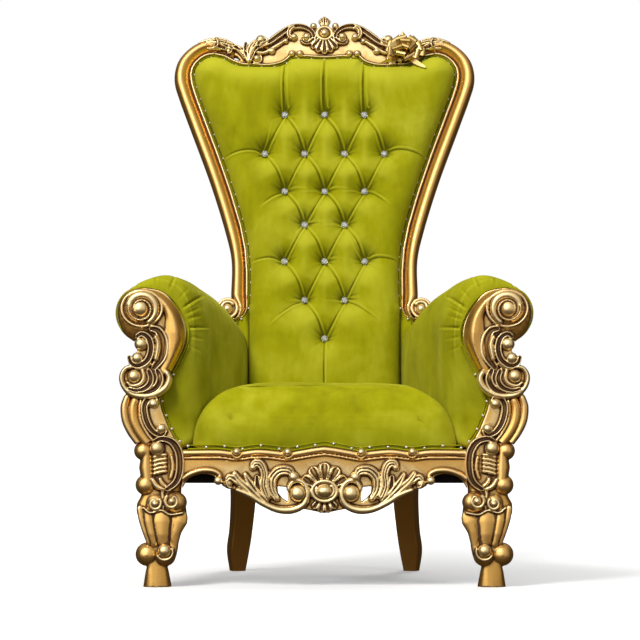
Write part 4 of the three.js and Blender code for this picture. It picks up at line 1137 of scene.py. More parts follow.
def back_cushion():
    columns, rows = 262, 350
    grid = patch(columns, rows, -0.3)
    flat = grid.reshape(-1, 2)
    edge = edge_distance(flat)
    low = np.clip((SCROLL_TOP - flat[:, 1]) / 40, 0, 1)
    tucked = np.maximum(OPENING_HALF - np.abs(flat[:, 0]), 0)
    edge = np.where(flat[:, 1] < SCROLL_TOP, np.minimum(edge, edge * (1 - low) + low * tucked), edge)
    swell = swollen(edge)
    fold = np.zeros(len(flat))
    lip = np.zeros(len(flat))
    for line, start, end in pleats():
        far, share, hand = distance_to(flat, smooth(line, 5))
        depth = start + (end - start) * share - 0.35 * min(start, end) * np.sin(math.pi * share)
        fade = np.clip(depth / 3, 0, 1)
        broad, sharp = np.exp(-((far / 22) ** 1.3)), np.exp(-((far / 2.7) ** 1.4))
        fold = blended(fold, depth * (0.66 * broad + 0.4 * sharp) * fade)
        lip = np.maximum(lip, 2.2 * np.exp(-(((far - 5.5) / 2.8) ** 2)) * (hand > 0) * fade)
    rng = np.random.default_rng(11)
    depth_at_button = PILLOW - (CUSHION_CROWN - TUFT_DEPTH) + 1
    pit = np.zeros(len(flat))
    wrinkle = np.zeros(len(flat))
    for _, _, x, y in BUTTONS:
        gap = flat - (x, y)
        far = np.hypot(gap[:, 0], gap[:, 1])
        angle = np.arctan2(gap[:, 1], gap[:, 0])
        pit = blended(pit, (depth_at_button + 2) * np.exp(-((np.maximum(far - 6, 0) / 32) ** 1.15)))
        waves = sum(np.cos(k * angle + rng.uniform(0, 6.28)) for k in (5, 9, 14)) / 3
        wrinkle += 1.9 * waves * np.exp(-far / 24) * (1 - np.exp(-far / 9))
    soft = np.sin(flat[:, 0] / 61 + 1.0) * np.sin(flat[:, 1] / 83) * 1.5
    drop = pit + fold * np.clip(1 - 0.8 * pit / depth_at_button, 0.1, 1) - lip - wrinkle - soft
    level = CUSHION_RIM + 1 + swell * PILLOW - drop * swell ** 0.6
    front = np.column_stack([flat, np.maximum(level, CUSHION_BACK + 6)])
    faces, loop = panel_faces(columns, rows)
    rear = front[loop].copy()
    rear[:, 2] = CUSHION_BACK
    mesh = new_mesh("back_cushion_velvet", from_back(np.vstack([front, rear])), faces)
    # Broad hollows, which the velvet paints as shade in its pits and folds.
    mark_hollows(mesh, MM, 4, 60, 0.7, 4.0)
    # Painted light and shade by slope: the cloth is darkened where it faces down and brightened where it
    # faces up, as light from above falls. This is added to the hollows.
    calm = (level + (lip + wrinkle) * -swell ** 0.6).reshape(rows, columns)
    lean_down = np.gradient(calm, axis=0) / np.gradient(grid[:, :, 1], axis=0)
    inside = np.clip(swell.reshape(rows, columns) * 2.5 - 1, 0, 1)
    tone_shift = np.zeros(len(mesh.vertices))
    slope_light_and_shade = inside * np.clip(1.0 * lean_down - 0.04, -0.5, 0.95)
    for _ in range(SLOPE_SHADE_BLUR):
        around = slope_light_and_shade[:-2, 1:-1] + slope_light_and_shade[2:, 1:-1] + slope_light_and_shade[1:-1, :-2] + slope_light_and_shade[1:-1, 2:]
        slope_light_and_shade[1:-1, 1:-1] += 0.2 * (around - 4 * slope_light_and_shade[1:-1, 1:-1])
    tone_shift[:len(level)] = slope_light_and_shade.ravel()
    set_attribute(mesh, "hollow", attribute_of(mesh, "hollow") + tone_shift)
    shade_smooth(mesh)
    item = finish_piece(new_object("back_cushion_velvet", mesh), VELVET, "velvet", "back_cushion")


def inset_opening(inset, level, foot=-40):
    """The opening's edge moved inwards, from one foot over the top to the other."""
    side, top = opening_sides()
    half = even(np.vstack([side, top[1:]]), 6)
    half = half[half[:, 1] > foot]
    whole = np.vstack([half, half[-2::-1] * [-1, 1]])
    inner = beside_line(whole, inset)
    return np.column_stack([inner, np.full(len(inner), float(level))])


def back_trim():
    """The gimp and nails between the cushion and the frame."""
    line = inset_opening(3.6, 10.5, 40)
    cord = even(line, 2.5)
    twist = 2 * math.pi * np.arange(len(cord)) * 2.5 / 11
    strands = []
    for phase in (0, math.pi):
        offset = np.column_stack([np.cos(twist + phase), np.zeros(len(cord)), np.sin(twist + phase)])
        strands.append(tube(cord + 1.5 * offset, 1.7, sides=6))
    # The gimp is darkened: painted shade of the gap between cushion and frame.
    plain_piece("back_gimp", strands, from_back, VELVET, "velvet", hollow=0.5)
    studs = [stud(p, (0, 0, 1), 3.4, 3.2) for p in even(inset_opening(8.2, 12.5, 200), 38)]
    plain_piece("back_nails", studs, from_back, PEARL, "crystal")


def crystal_buttons():
    """Brilliant-cut buttons, each in its pit."""
    floor_level = CUSHION_RIM + CUSHION_CROWN - TUFT_DEPTH + 0.3
    cuts = 8
    radii = [(2.0, 0.0), (9.2, 2.0), (10.0, 3.4), (7.6, 6.6), (4.6, 8.0)]
    for row, column, x, y in BUTTONS:
        rings = []
        for level, (radius, height) in enumerate(radii):
            angle = 2 * math.pi * (np.arange(cuts) + 0.5 * (level % 2)) / cuts + 0.3 * row + 0.2 * column
            rings.append(np.stack([x + radius * np.cos(angle), y + radius * np.sin(angle),
                                   np.full(cuts, floor_level + height)], axis=1))
        node = f"crystal_button_{row + 1}_{column + 1}"
        plain_piece(f"crystal_{row + 1}_{column + 1}", [loft(rings)], from_back, CRYSTAL, "crystal", node,
                    smooth_shading=False)


def outside_back():
    """The cloth-covered back of the chair, with a welt and nails around it."""
    columns, rows = 60, 90
    grid = patch(columns, rows)
    flat = grid.reshape(-1, 2)
    level = FRAME_BACK + 4 - 7 * np.sqrt(np.clip(edge_distance(flat) / 60, 0, 1))
    outer = np.column_stack([flat, level])
    faces, loop = panel_faces(columns, rows)
    turned = [[face[0], *face[:0:-1]] for face in faces]
    inner = outer[loop].copy()
    inner[:, 2] = CUSHION_BACK - 2
    mesh = new_mesh("outside_back", from_back(np.vstack([outer, inner])), turned)
    set_attribute(mesh, "hollow", np.zeros(len(mesh.vertices)))
    shade_smooth(mesh)
    finish_piece(new_object("outside_back", mesh), VELVET, "velvet", "back_panel")
    edge_line = inset_opening(4, FRAME_BACK + 1, -30)
    plain_piece("outside_back_welt", [tube(edge_line, 2.6)], from_back, VELVET, "velvet", hollow=0.2)
    studs = [stud(p, (0, 0, -1), 4.5, 3) for p in even(inset_opening(11, FRAME_BACK - 2, -30), 38)]
    plain_piece("outside_back_nails", studs, from_back, PEARL, "crystal")


# ---------------------------------------------------------------- stuffed seat and arms

CLOTH_FRAMES = 20
STUFFING_PRESSURE = 4.0


def swelling(points, faces, voxel, cap, fixed):
    """How cloth under pressure swells a closed form: places on it, and the way each one moves, in metres.
    The cap is the furthest that any place may move, and fixed says which places are held."""
    item = new_object("stuffing", new_mesh("stuffing", points, faces))
    mesh = evened(item, voxel)
    ends, counts = neighbours(mesh)
    rest = relaxed(points_of(mesh), ends, counts, 4)
    set_points(mesh, rest)
    pins = item.vertex_groups.new(name="fixed")
    pins.add([int(k) for k in np.flatnonzero(fixed(rest))], 1.0, "REPLACE")
    cloth = item.modifiers.new("Cloth", "CLOTH")
    cloth.settings.use_pressure = True
    cloth.settings.uniform_pressure_force = STUFFING_PRESSURE
    cloth.settings.vertex_group_mass = "fixed"
    cloth.settings.effector_weights.gravity = 0.0
    cloth.point_cache.frame_start, cloth.point_cache.frame_end = 1, CLOTH_FRAMES
    scene = bpy.context.scene
    for step in range(1, CLOTH_FRAMES + 1):
        scene.frame_set(step)
    graph = bpy.context.evaluated_depsgraph_get()
    blown = item.evaluated_get(graph)
    move = points_of(blown.to_mesh()) - rest
    blown.to_mesh_clear()
    scene.frame_set(1)
    bpy.data.objects.remove(item)
    far = np.linalg.norm(move, axis=1, keepdims=True)
    move = relaxed(move * np.minimum(1, cap / np.maximum(far, 1e-9)), ends, counts, 6)
    return rest, move


def swell_mesh(item, voxel, cap, fixed):
    """Moves a fine mesh as the simulated stuffing moves."""
    mesh = item.data
    points = points_of(mesh)
    rest, move = swelling(points, [list(face.vertices) for face in mesh.polygons], voxel, cap, fixed)
    tree = tree_of(rest)
    shift = np.zeros_like(points)
    for k, p in enumerate(points):
        near = tree.find_n(p, 5)
        weight = np.array([1 / (entry[2] + 0.002) ** 2 for entry in near])
        shift[k] = weight @ move[[entry[1] for entry in near]] / weight.sum()
    set_points(mesh, points + shift * (~fixed(points))[:, None])


def dress(item, *nodes, fill):
    # The hollows give the velvet painted shade in its folds and painted light on its ridges.
    mark_hollows(item.data, MM, 3, 20, 0.7, 5)
    shade_smooth(item.data)
    finish_piece(item, VELVET, "velvet", *nodes)


def rail_top(x):
    """Height of the front rail's waved upper edge."""
    wave = smooth(RAIL_WAVE, 6)
    return np.interp(np.abs(x), wave[:, 0], wave[:, 1])


SEAT_HALF = 362  # half width of the seat at its front
SEAT_CROWN = 10  # how far the middle of the top stands over its edges


def seat():
    """A tight seat: rings climb from the rails over rounded edges to a crowned top."""
    low_y, high_y = SEAT_LOW.y / MM, SEAT_HIGH.y / MM
    floor, crown = SEAT_LOW.z / MM, SEAT_HIGH.z / MM
    depth, side_round, front_round = high_y - low_y - 9, 112, 104

    def half_width(y):
        return np.interp(y, [0, 30, 110, depth], [SEAT_HALF, 363, 342, 221])

    climb = np.linspace(0, math.pi / 2, 44)
    sides, corner, across = 70, 34, 150
    rings = []
    for a in climb:
        t = math.cos(a)
        y_side = np.linspace(depth, front_round, sides, endpoint=False)
        turn = np.linspace(0, math.pi / 2, corner, endpoint=False)
        c, q = np.cos(turn) ** 0.62, np.sin(turn) ** 0.62
        y = np.concatenate([y_side, front_round * (1 - t * q), [front_round * (1 - t)]])
        inward = np.concatenate([np.full(sides, 1 - t), 1 - t * c, [1.0]]) * side_round
        x = half_width(y) - inward * np.interp(y, [0, 200, depth], [1, 1, 0.62])
        front_x = np.linspace(x[-1], -x[-1], across + 1)[1:-1]
        front_y = np.full(across - 1, y[-1]) - 3 * (1 - (front_x / x[-1]) ** 2) * t
        xs = np.concatenate([x, front_x, -x[::-1]])
        ys = np.concatenate([y, front_y, y[::-1]])
        bulge = np.cos(xs / SEAT_HALF * math.pi / 2) * np.sin(math.pi * np.clip(ys / depth, 0, 0.8))
        rise = crown - floor - SEAT_CROWN + SEAT_CROWN * bulge
        zs = floor + (rise - 14 * np.clip(ys / depth - 0.6, 0, 1)) * math.sin(a) ** 0.94
        rings.append(np.stack([xs, ys + low_y, zs], axis=1))
    base = rings[0]
    on_rail = np.clip((low_y + 40 - base[:, 1]) / 30, 0, 1)
    base[:, 2] += on_rail * (rail_top(base[:, 0]) + 0.8 - floor)
    count = len(base)
    points = np.vstack(rings)
    faces = []
    for i in range(len(rings) - 1):
        for j in range(count - 1):
            a = i * count + j
            faces.append([a, a + 1, a + 1 + count, a + count])
    # The crown between the innermost ring's two sides, row by row from the back to the front.
    last = (len(rings) - 1) * count
    edge = sides + corner + 1
    inner, strips = rings[-1], 26
    grid = [[last + j] for j in range(edge)]
    extra = []
    for j in range(edge):
        right, left = inner[j], inner[count - 1 - j]
        for k in range(1, strips):
            f = k / strips
            p = right * (1 - f) + left * f
            across_seat = [math.cos(x / SEAT_HALF * math.pi / 2) for x in (p[0], right[0])]
            along_seat = math.sin(math.pi * min((p[1] - low_y) / depth, 0.8))
            p[2] += SEAT_CROWN * (across_seat[0] - across_seat[1]) * along_seat
            grid[j].append(len(points) + len(extra))
            extra.append(p)
        grid[j].append(last + count - 1 - j)
    points = np.vstack([points, extra])
    for j in range(edge - 1):
        for k in range(strips):
            faces.append([grid[j][k], grid[j][k + 1], grid[j + 1][k + 1], grid[j + 1][k]][::-1])
    faces.append([*grid[edge - 1], *[last + j for j in range(count - edge - 1, edge - 1, -1)]][::-1])
    faces.append([i * count for i in range(len(rings))] + grid[0][1:-1]
                 + [i * count + count - 1 for i in range(len(rings) - 1, -1, -1)])
    faces.append(list(range(count))[::-1])
    item = new_object("seat_cushion_velvet", new_mesh("seat_cushion_velvet", from_plan(points), faces))
    make_outward(item.data)
    swell_mesh(item, 0.008, 0.007, lambda p: (p[:, 2] < SEAT_LOW.z + 0.012) | (p[:, 1] > SEAT_HIGH.y - 0.02))
    points, normals = points_of(item.data), normals_of(item.data)
    rise = np.clip((points[:, 2] - SEAT_LOW.z) / 0.1, 0, 1)
    soft = np.sin(points[:, 0] * 17 + 0.6) * np.sin(points[:, 1] * 13 + points[:, 2] * 9 + 1.2)
    soft += 0.5 * np.sin(points[:, 0] * 41 + points[:, 2] * 17) * np.sin(points[:, 1] * 29 + 0.4)
    set_points(item.data, points + normals * (0.0018 * soft * rise)[:, None])
    dress(item, "seat_cushion", fill=0.75)


def make_outward(mesh):
    """Turns all faces of a closed mesh to face out."""
    shape = bmesh.new()
    shape.from_mesh(mesh)
    bmesh.ops.recalc_face_normals(shape, faces=shape.faces)
    shape.to_mesh(mesh)
    shape.free()


# Sections of the arm in X and Z, from the inner foot over the roll to the outer foot: where the cover meets
# the carved panel, at its full size behind the panel, and at the back's frame. The last column is the number
# of steps to the next row.
ARM_SECTIONS = np.array([
    (388, 377, 366, 377, 224, 385, 8), (432, 459, 344, 459, 222, 459, 14), (405, 570, 338, 560, 221, 530, 16),
    (380, 618, 336, 625, 220, 570, 22), (373, 662, 336, 680, 220, 614, 26),
    (377, 708, 341, 728, 222, 648, 30),
    (391, 742, 354, 773, 228, 676, 30), (411, 770, 378, 810, 240, 696, 30),
    (440, 791, 416, 832, 257, 706, 30),
    (484, 799, 462, 832, 279, 706, 26), (521, 790, 515, 808, 296, 698, 18),
    (545, 768, 545, 772, 307, 684, 14),
    (552, 735, 553, 735, 308, 668, 10), (541, 692, 541, 692, 300, 652, 8), (506, 660, 506, 660, 290, 640, 8),
    (484, 620, 484, 620, 285, 618, 6), (478, 500, 478, 500, 282, 500, 6), (478, 377, 478, 377, 282, 385, 10),
], float)
ARM_ROLL = 46  # how far behind the carved panel the cover reaches its full size
ARM_LENGTH = 505  # from the carved panel to the back's frame, the same for every point of a section
ARM_MIDDLE = (455, 690)  # middle of the roll in X and Z, from which the pleats spread
ARM_PLEATS = [(66, 55, 3.0), (90, 40, 2.0), (110, 95, 4.0), (129, 36, 2.0), (144, 120, 7.0), (155, 52, 3.2),
              (164, 46, 3.0), (178, 100, 6.5), (192, 50, 3.0), (206, 44, 2.0)]  # bearing, reach, depth


def arm_pad():
    """The right arm's cover, from carved panel to back frame, and how far along it each point is."""
    panel, full, rear = (closed_curve(ARM_SECTIONS[:, k:k + 2], ARM_SECTIONS[:, 6]) for k in (0, 2, 4))
    front_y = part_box("arm_pad_right")[0].y / MM
    rear_y = BACK_Y + (rear[:, 1] - BACK_Z) * math.tan(BACK_LEAN) - 17 / math.cos(BACK_LEAN)
    length = rear_y - front_y
    back = np.concatenate([ARM_ROLL * (1 - np.cos(np.linspace(0, math.pi / 2, 17))),
                           ARM_ROLL + (ARM_LENGTH - ARM_ROLL) * np.linspace(0, 1, 52)[1:] ** 1.15])
    rings = []
    for reach in back:
        t = reach / ARM_LENGTH
        grown = math.sqrt(max(0.0, 1 - (1 - min(1.0, reach / ARM_ROLL)) ** 2))
        front = panel + (full - panel) * grown
        ring = front + (rear - front) * t
        step = np.clip((ring[:, 1] - 480) / 280, 0, 1)
        ring[:, 1] += step ** 2 * (3 - 2 * step) * 30 * math.sin(math.pi * t ** 0.9) ** 0.9
        rings.append(np.column_stack([ring[:, 0], front_y + length * t, ring[:, 1]]))
    points, faces, _ = loft(rings)
    return points, faces, np.repeat(back, len(panel))


def arm_pads():
    points, faces, back = arm_pad()
    item = new_object("arm_pad_right_velvet", new_mesh("arm_pad_right_velvet", from_plan(points), faces))
    make_outward(item.data)
    low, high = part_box("arm_pad_right")
    swell_mesh(item, 0.009, 0.006, lambda p: (p[:, 2] < low.z + 0.012) | (p[:, 1] < low.y + 0.012)
               | (p[:, 1] > high.y - 0.03))
    points, normals = points_of(item.data), normals_of(item.data)
    x, z = points[:, 0] / MM - ARM_MIDDLE[0], points[:, 2] / MM - ARM_MIDDLE[1]
    bearing = np.degrees(np.arctan2(z, x))
    bearing = np.where(bearing < -90, bearing + 360, bearing)
    radius = np.hypot(x, z)
    shift = np.zeros(len(points))
    for angle, reach, depth in ARM_PLEATS:
        across = np.radians(bearing - angle) * radius
        fade = np.clip(1 - back / reach, 0, 1) ** 0.7
        fold = 0.62 * np.exp(-((np.abs(across) / 3.2) ** 1.4)) + 0.4 * np.exp(-np.abs(across) / 15)
        lip = 0.22 * np.exp(-(((across - 7) / 4) ** 2))
        shift -= depth * fade * (fold - lip)
    waist = np.exp(-((z + 65) / 95) ** 2) * np.clip(-1.6 * normals[:, 0], 0, 1)
    shift -= 9 * waist * np.exp(-(((back - 150) / 62) ** 2))
    shift += 2.5 * waist * np.exp(-(((back - 62) / 40) ** 2))
    shift += 1.6 * np.sin(back / 52 + 0.8) * np.sin(z / 61 + 1) * np.clip(back / 60, 0, 1)
    edge = np.clip(back / 6, 0, 1)
    set_points(item.data, points + normals * (shift * edge * MM)[:, None])
    twin = mirror_copy(item, "arm_pad_left_velvet")
    dress(item, "arm_pad_right", fill=0.8)
    dress(twin, "arm_pad_left", fill=0.8)


def arm_trim():
    """Gimp and nails where the arm covers meet the carved panels."""
    inner, roll, _ = arm_outline()
    edge = even(np.vstack([inner, roll[1:]]), 5)

    def beside(gap, rise):
        return np.column_stack([beside_line(edge, gap), np.full(len(edge), rise - ARM_PANEL_DEPTH)])

    first, second = beside(2.6, 3.5), beside(8.4, 2.6)
    lower = second[second[:, 1] < 650]
    plain_piece("arm_gimp", both([tube(first, 2.3), tube(lower, 1.9)]), from_front, VELVET, "velvet",
                hollow=0.05)
    between = beside(5.6, 4.6)
    nails = even(between[between[:, 1] < 640], 42)[:6]
    plain_piece("arm_nails", both([stud(p, (0, 0, 1), 3.8, 3.4) for p in nails]), from_front, PEARL,
                "crystal")


def seat_trim():
    """The flat gimp and its nails along the foot of the seat, on the rail's waved top."""
    x = np.linspace(-364, 364, 150)
    top = rail_top(x)
    level = FRONT_Y - SEAT_LOW.y / MM + 2.5
    lines = [np.stack([x, top + rise, np.full(len(x), level + out)], axis=1)
             for rise, out in ((2.2, 1.5), (11.5, 0.3))]
    plain_piece("seat_gimp", [tube(line, radius) for line, radius in zip(lines, (2.3, 1.8))], from_front,
                VELVET, "velvet", hollow=0.05)
    studs = [stud(p + [0, 5.4 + 2.2 * (-1) ** k, 0.6], (0, 0, 1), 3.8, 3.4)
             for k, p in enumerate(even(lines[0], 50))]
    plain_piece("seat_nails", studs, from_front, PEARL, "crystal")


# ---------------------------------------------------------------- plain wood of the sides and rear

TAPER = math.radians(21)  # turn of the side rails from straight ahead
BACK_SHIFT = 22.4  # how far behind its drawing the rear of the chair stands
REAR_LEG_DRAWN = 314.9  # the furthest back that the drawn leg reaches
REAR_LEG_TURN = 17  # degrees that the sabre part faces inwards


def chamfered(half, cut):
    """Corners of a square section with its edges taken off."""
    return np.array([(-half + cut, -half), (half - cut, -half), (half, -half + cut), (half, half - cut),
                     (half - cut, half), (-half + cut, half), (-half, half - cut), (-half, -half + cut)])


def rear_leg():
    """A sabre leg below a square block that takes the rails."""
    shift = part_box("rear_leg_right")[1].y / MM - REAR_LEG_DRAWN + BACK_SHIFT
    rows = smooth([(0, 251, 268, 19), (60, 249, 256, 27), (126, 240, 234, 28), (221, 233, 196, 30),
                   (300, 238, 154, 29), (377, 244, 131, 28)], 8)
    rings = []
    for z, x, y, half in rows:
        turn = math.radians(np.interp(z, [272, 298], [-REAR_LEG_TURN, math.degrees(TAPER)]))
        c, s = math.cos(turn), math.sin(turn)
        corners = chamfered(half, 2.5)
        rings.append(np.stack([x + c * corners[:, 0] - s * corners[:, 1],
                               y + shift + s * corners[:, 0] + c * corners[:, 1], np.full(8, z)], axis=1))
    return loft(rings)


def side_rail():
    """A rail with a bead along its upper and lower edges."""
    low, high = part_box("side_rail_right")
    heading = np.array([math.sin(TAPER), -math.cos(TAPER)])
    across = np.array([-heading[1], heading[0]])
    bottom, top = low.z / MM, high.z / MM
    rear = np.array([244, 131 + BACK_SHIFT]) + heading * 30
    front_y = low.y / MM
    outer = [(12, bottom), (12, bottom + 4), (15.5, bottom + 8), (15.5, bottom + 14), (12.5, bottom + 18),
             (12, bottom + 22), (12, top - 24), (12.5, top - 20), (15.5, top - 15), (15.5, top - 7),
             (13, top), (-14, top), (-14, bottom)]
    rings = []
    for t in np.linspace(0, 1, 20):
        ring = []
        for off, z in outer:
            start = rear + across * off
            reach = (front_y - start[1]) / heading[1]
            at = start + heading * reach * t
            ring.append((at[0], at[1], z))
        rings.append(ring)
    return loft(rings)


# ---------------------------------------------------------------- ribbon bow

def strip(line, normal_side, width, thick=0.5):
    """A ribbon along a line in space; normal_side is the ribbon's own width direction at each point."""
    line, side = np.asarray(line, float), np.asarray(normal_side, float)
    heading = np.gradient(line, axis=0)
    heading /= np.maximum(np.linalg.norm(heading, axis=1, keepdims=True), 1e-9)
    up = np.cross(heading, side)
    up /= np.maximum(np.linalg.norm(up, axis=1, keepdims=True), 1e-9)
    w = np.atleast_1d(width) if np.ndim(width) else np.full(len(line), width)
    rings = [[p - s * k - u * thick, p + s * k - u * thick, p + s * k + u * thick, p - s * k + u * thick]
             for p, s, u, k in zip(line, side, up, w / 2)]
    return loft(rings)


BOW_PLACE = (233, 1067, 31)  # the knot, in the back's frame
BOW_LOOPS = [  # where the loop turns, from the knot, the ribbon's width direction and width
    ((-49, 15, 12), (0.1, 1, 0.1), 31), ((-41, -18, 10), (1, 0.12, 0.1), 27),
    ((-28, 36, 12), (0.15, 1, 0.2), 34),
    ((34, 33, 12), (0.65, -0.6, 0.2), 30), ((47, 15, 14), (0.25, 0.95, 0.1), 30),
    ((57, -4, 10), (0.5, 0.85, 0), 24),
    ((15, -20, 22), (0.92, 0.38, 0), 40), ((-21, 5, 36), (1, 0.08, 0), 31), ((21, 7, 36), (0.72, 0.7, 0), 34),
    ((1, 27, 36), (1, -0.12, 0), 28), ((-46, -2, 24), (0.5, 0.85, 0), 24),
    ((38, -12, 22), (0.5, 0.8, 0.2), 28),
    ((0, 8, 40), (0.9, -0.35, 0), 24), ((-12, -14, 34), (0.95, -0.2, 0), 28),
    ((12, 18, 32), (0.3, 0.9, 0), 26), ((-12, 40, 20), (1, 0.2, 0), 30), ((24, 36, 20), (0.9, -0.5, 0), 26),
]
BOW_POINTS = [((-0.1, 1, 0.2), 61, 36), ((0.47, 0.85, 0.2), 55, 32), ((-0.42, 0.8, 0.3), 48, 26)]
BOW_TAILS = [[(10, -14, 4), (24, -28, 12), (42, -42, 21), (60, -54, 28)],
             [(-20, -16, 2), (-45, -26, 9), (-72, -38, 17)]]


def unit(way):
    way = np.asarray(way, float)
    return way / np.linalg.norm(way)


def ribbon_loop(turn_place, width_way, width, bend=7.5):
    """A loop of ribbon that leaves the knot, turns round a small bend and comes back."""
    reach, out = np.linalg.norm(turn_place) + bend / 2, unit(turn_place)
    across = unit(np.asarray(width_way, float) - out * (out @ np.asarray(width_way, float)))
    over = np.cross(out, across)
    turn = np.linspace(-90, 90, 13)
    bent = [(reach - bend + bend * math.cos(math.radians(a)), bend * math.sin(math.radians(a))) for a in turn]
    outline = np.array([(0, -1), (reach * 0.35, -bend * 0.8), *bent, (reach * 0.35, bend * 0.8), (0, 1)])
    line = outline[:, :1] * out + outline[:, 1:] * over
    narrow = width * np.interp(outline[:, 0], [0, reach * 0.45], [0.35, 1])
    return strip(line, np.repeat(across[None], len(line), 0), narrow)


def ribbon_point(way, reach, width):
    """A loop twisted to a point, as a cone of ribbon open towards the knot."""
    out = unit(way)
    side = unit(np.cross(out, (0, 0, 1)))
    over = np.cross(out, side)
    rings = []
    for share, half in ((0.15, 0.55), (0.5, 0.5), (0.75, 0.3), (1, 0.02)):
        angle = np.linspace(0, 2 * math.pi, 14, endpoint=False)
        ring = np.cos(angle)[:, None] * side * half + np.sin(angle)[:, None] * over * half * 0.5
        rings.append(out * reach * share + ring * width)
    return loft(rings)


def gift_bow():
    shapes = [ribbon_loop(*loop) for loop in BOW_LOOPS] + [ribbon_point(*point) for point in BOW_POINTS]
    for tail in BOW_TAILS:
        line = smooth(tail, 6)
        side = np.repeat(unit((0.62, 0.78, 0.35))[None], len(line), 0)
        shapes.append(strip(line, side, 15 * np.sqrt(1.02 - np.linspace(0, 1, len(line)) ** 2)))
    points, faces, _ = gather(shapes)
    points = points + BOW_PLACE
    points[:, 2] = np.maximum(points[:, 2], 20)
    plain_piece("gold_bow", [(points, faces, 0.0)], from_back, RIBBON, "ribbon", "gift_bow", crease=40)


# ---------------------------------------------------------------- build

def pearl_nails():
    n = Nodes("nail")
    tarnish = n.noise(420, 3, 0.5)
    colour = n.ramp(tarnish, (0.3, (0.72, 0.7, 0.62)), (0.7, (0.92, 0.91, 0.87)))
    return n.set(colour=colour, metal=0.5, rough=n.ramp(tarnish, (0.3, 0.18), (0.7, 0.3)), coat=0.4)


PEARL = pearl_nails()

pair(carve("front_leg_right_carved", front_leg(), from_front, 1.7, 0.45), GILT, "gilt", "front_leg")
pair(carve("arm_front_right_carved", arm_front(), from_front, 1.7, 0.48), GILT, "gilt", "arm_front")
finish_piece(carve("front_rail_carved", front_rail(), from_front, 1.8, 0.46), GILT, "gilt", "front_rail")
finish_piece(carve("crest_rail_carved", crest_rail(), from_back, 1.6, 0.5), GILT, "gilt", "crest_rail")

pair(carve("back_stile_right_carved", stile(), from_back, 1.7, 0.17), GILT, "gilt", "back_stile")
for side_name, change in (("right", lambda s: s), ("left", mirrored)):
    plain_piece(f"rear_leg_{side_name}_sabre", change([rear_leg()]), from_plan, SHADED_GILT, "dark_gilt",
                f"rear_leg_{side_name}", smooth_shading=False)
    plain_piece(f"side_rail_{side_name}_moulded", change([side_rail()]), from_plan, GILT, "gilt",
                f"side_rail_{side_name}", smooth_shading=False)

back_cushion()
back_trim()
crystal_buttons()
outside_back()
seat()
arm_pads()
arm_trim()
seat_trim()
gift_bow()

for node, material, slot in (("rear_rail", SHADED_GILT, "dark_gilt"), ("dust_cover", DUST_CLOTH, "dust_cloth")):
    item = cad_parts[node]
    item.data.materials.clear()
    item.data.materials.append(material)


# ---------------------------------------------------------------- studio

def area(name, place, aim, size, power, colour=(1, 1, 1), mirrored_in_gold=True):
    light = bpy.data.lights.new(name, "AREA")
    light.shape, light.size, light.size_y, light.energy, light.color = "RECTANGLE", *size, power, colour
    item = new_object(name, light)
    item.location = place
    item.rotation_euler = (Vector(aim) - Vector(place)).to_track_quat("-Z", "Y").to_euler()
    item.visible_camera = False
    item.visible_glossy = mirrored_in_gold


SOFTBOX = (-0.45, -0.75, 0.48)  # direction from the chair to the brightest part of the room
ROOM_DARK, ROOM_FRONT, ROOM_BOX, ROOM_ABOVE = 0.05, 0.68, 1.6, 0.4  # strengths of the room's parts
DIFFUSE_SHARE = 0.3  # share of the room's strength that lights surfaces, beside what they mirror


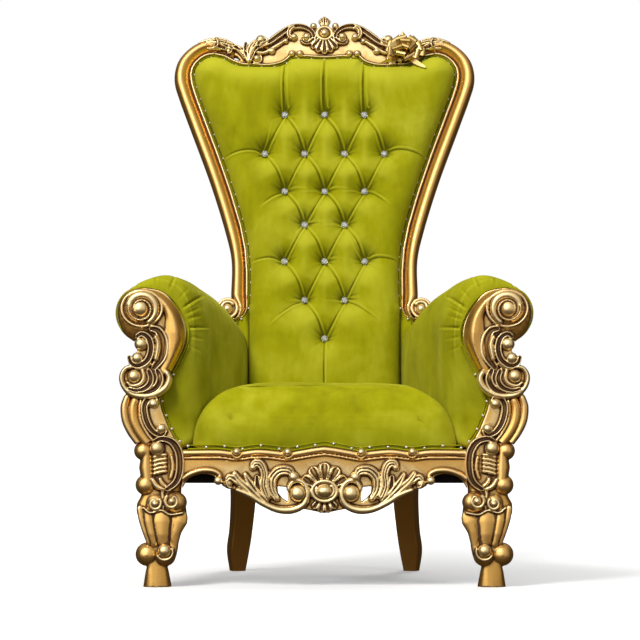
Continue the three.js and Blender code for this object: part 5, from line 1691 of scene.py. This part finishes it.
def surroundings():
    """White to the camera; to the chair a room with a large soft light in front, to the left and above."""
    world = bpy.data.worlds.new("studio")
    world.use_nodes = True
    bpy.context.scene.world = world
    tree = world.node_tree

    def node(kind, *inputs, **settings):
        made = tree.nodes.new(kind)
        for key, value in settings.items():
            setattr(made, key, value)
        for socket, value in zip(made.inputs, inputs):
            if isinstance(value, bpy.types.NodeSocket):
                tree.links.new(value, socket)
            else:
                socket.default_value = value
        return made

    def added(*values):
        total = values[0]
        for value in values[1:]:
            total = node("ShaderNodeMath", total, value, operation="ADD").outputs[0]
        return total

    def between(value, low, high, least, most):
        return node("ShaderNodeMapRange", value, low, high, least, most,
                    interpolation_type="SMOOTHSTEP").outputs[0]

    direction = node("ShaderNodeTexCoord").outputs["Generated"]
    way = node("ShaderNodeSeparateXYZ", direction).outputs
    towards_box = node("ShaderNodeVectorMath", direction, SOFTBOX, operation="DOT_PRODUCT").outputs["Value"]
    front = between(way["Y"], 0.0, -0.85, 0.0, ROOM_FRONT)
    over_floor = between(way["Z"], -0.45, 0.1, 0.1, 1.0)
    front = node("ShaderNodeMath", front, over_floor, operation="MULTIPLY").outputs[0]
    room = added(front, between(towards_box, 0.7, 0.97, 0.0, ROOM_BOX),
                 between(way["Z"], 0.3, 0.95, 0.0, ROOM_ABOVE), ROOM_DARK)
    soft = node("ShaderNodeMath", room, DIFFUSE_SHARE, operation="MULTIPLY").outputs[0]
    rays = node("ShaderNodeLightPath").outputs
    warmth = between(room, 0.0, 0.9, 1.0, 0.0)
    warm = node("ShaderNodeMixShader", warmth,
                node("ShaderNodeBackground", (1, 0.99, 0.96, 1), room).outputs[0],
                node("ShaderNodeBackground", (1, 0.7, 0.36, 1), room).outputs[0]).outputs[0]
    even = node("ShaderNodeBackground", (0.98, 0.98, 1, 1), soft).outputs[0]
    lit = node("ShaderNodeMixShader", rays["Is Glossy Ray"], even, warm)
    white = node("ShaderNodeBackground", (1, 1, 1, 1), 1.0)
    mixed = node("ShaderNodeMixShader", rays["Is Camera Ray"], lit.outputs[0], white.outputs[0])
    tree.links.new(mixed.outputs[0], tree.nodes["World Output"].inputs["Surface"])


def studio():
    surroundings()
    sides, radius = 96, 18
    angle = np.linspace(0, 2 * math.pi, sides, endpoint=False)
    ring = np.stack([radius * np.cos(angle), radius * np.sin(angle), np.zeros(sides)], axis=1)
    floor = new_object("floor", new_mesh("floor", ring, [list(range(sides))]))
    floor.data.materials.append(plain_floor())
    floor.visible_glossy = floor.visible_diffuse = False
    area("key", (-1.7, -2.9, 4.5), (0, 0, 0.9), (1.3, 1.3), 185, (1, 0.98, 0.95), False)
    area("sparkle", (-1.9, -3.6, 3.6), (0, 0, 0.9), (0.6, 0.6), 30, (1, 0.98, 0.95))
    area("fill", (3.2, -3.4, 2.4), (0, 0, 0.7), (1.0, 1.6), 44, (0.97, 0.98, 1), False)
    area("top", (0.2, 0.9, 4.2), (0, 0.1, 0.8), (2.2, 1.2), 26, mirrored_in_gold=False)
    area("back", (1.5, 3.6, 2.8), (0, 0, 0.8), (1.8, 1.8), 70, mirrored_in_gold=False)


CAMERA_DISTANCE, CAMERA_HEIGHT = 8.0, 0.576  # metres, in front of the arms and over the floor
SENSOR = 36.0  # film width in millimetres
PICTURE, FOCAL = 640, 3000.0  # picture width and focal length in pixels
LOOK_UP, LOOK_LEFT = 51, 4.5  # the camera's turn, in pixels of the picture


def photograph():
    camera = bpy.data.cameras.new("camera")
    camera.sensor_width, camera.lens = SENSOR, SENSOR * FOCAL / PICTURE
    camera.clip_end = 100
    item = new_object("camera", camera)
    item.location = (0, FRONT_Y * MM - CAMERA_DISTANCE, CAMERA_HEIGHT)
    pitch, yaw = math.atan(LOOK_UP / FOCAL), math.atan(LOOK_LEFT / FOCAL)
    item.rotation_euler = (math.pi / 2 + pitch, 0, yaw)
    bpy.context.scene.camera = item


studio()
photograph()
bpy.context.scene.view_settings.view_transform = "Standard"
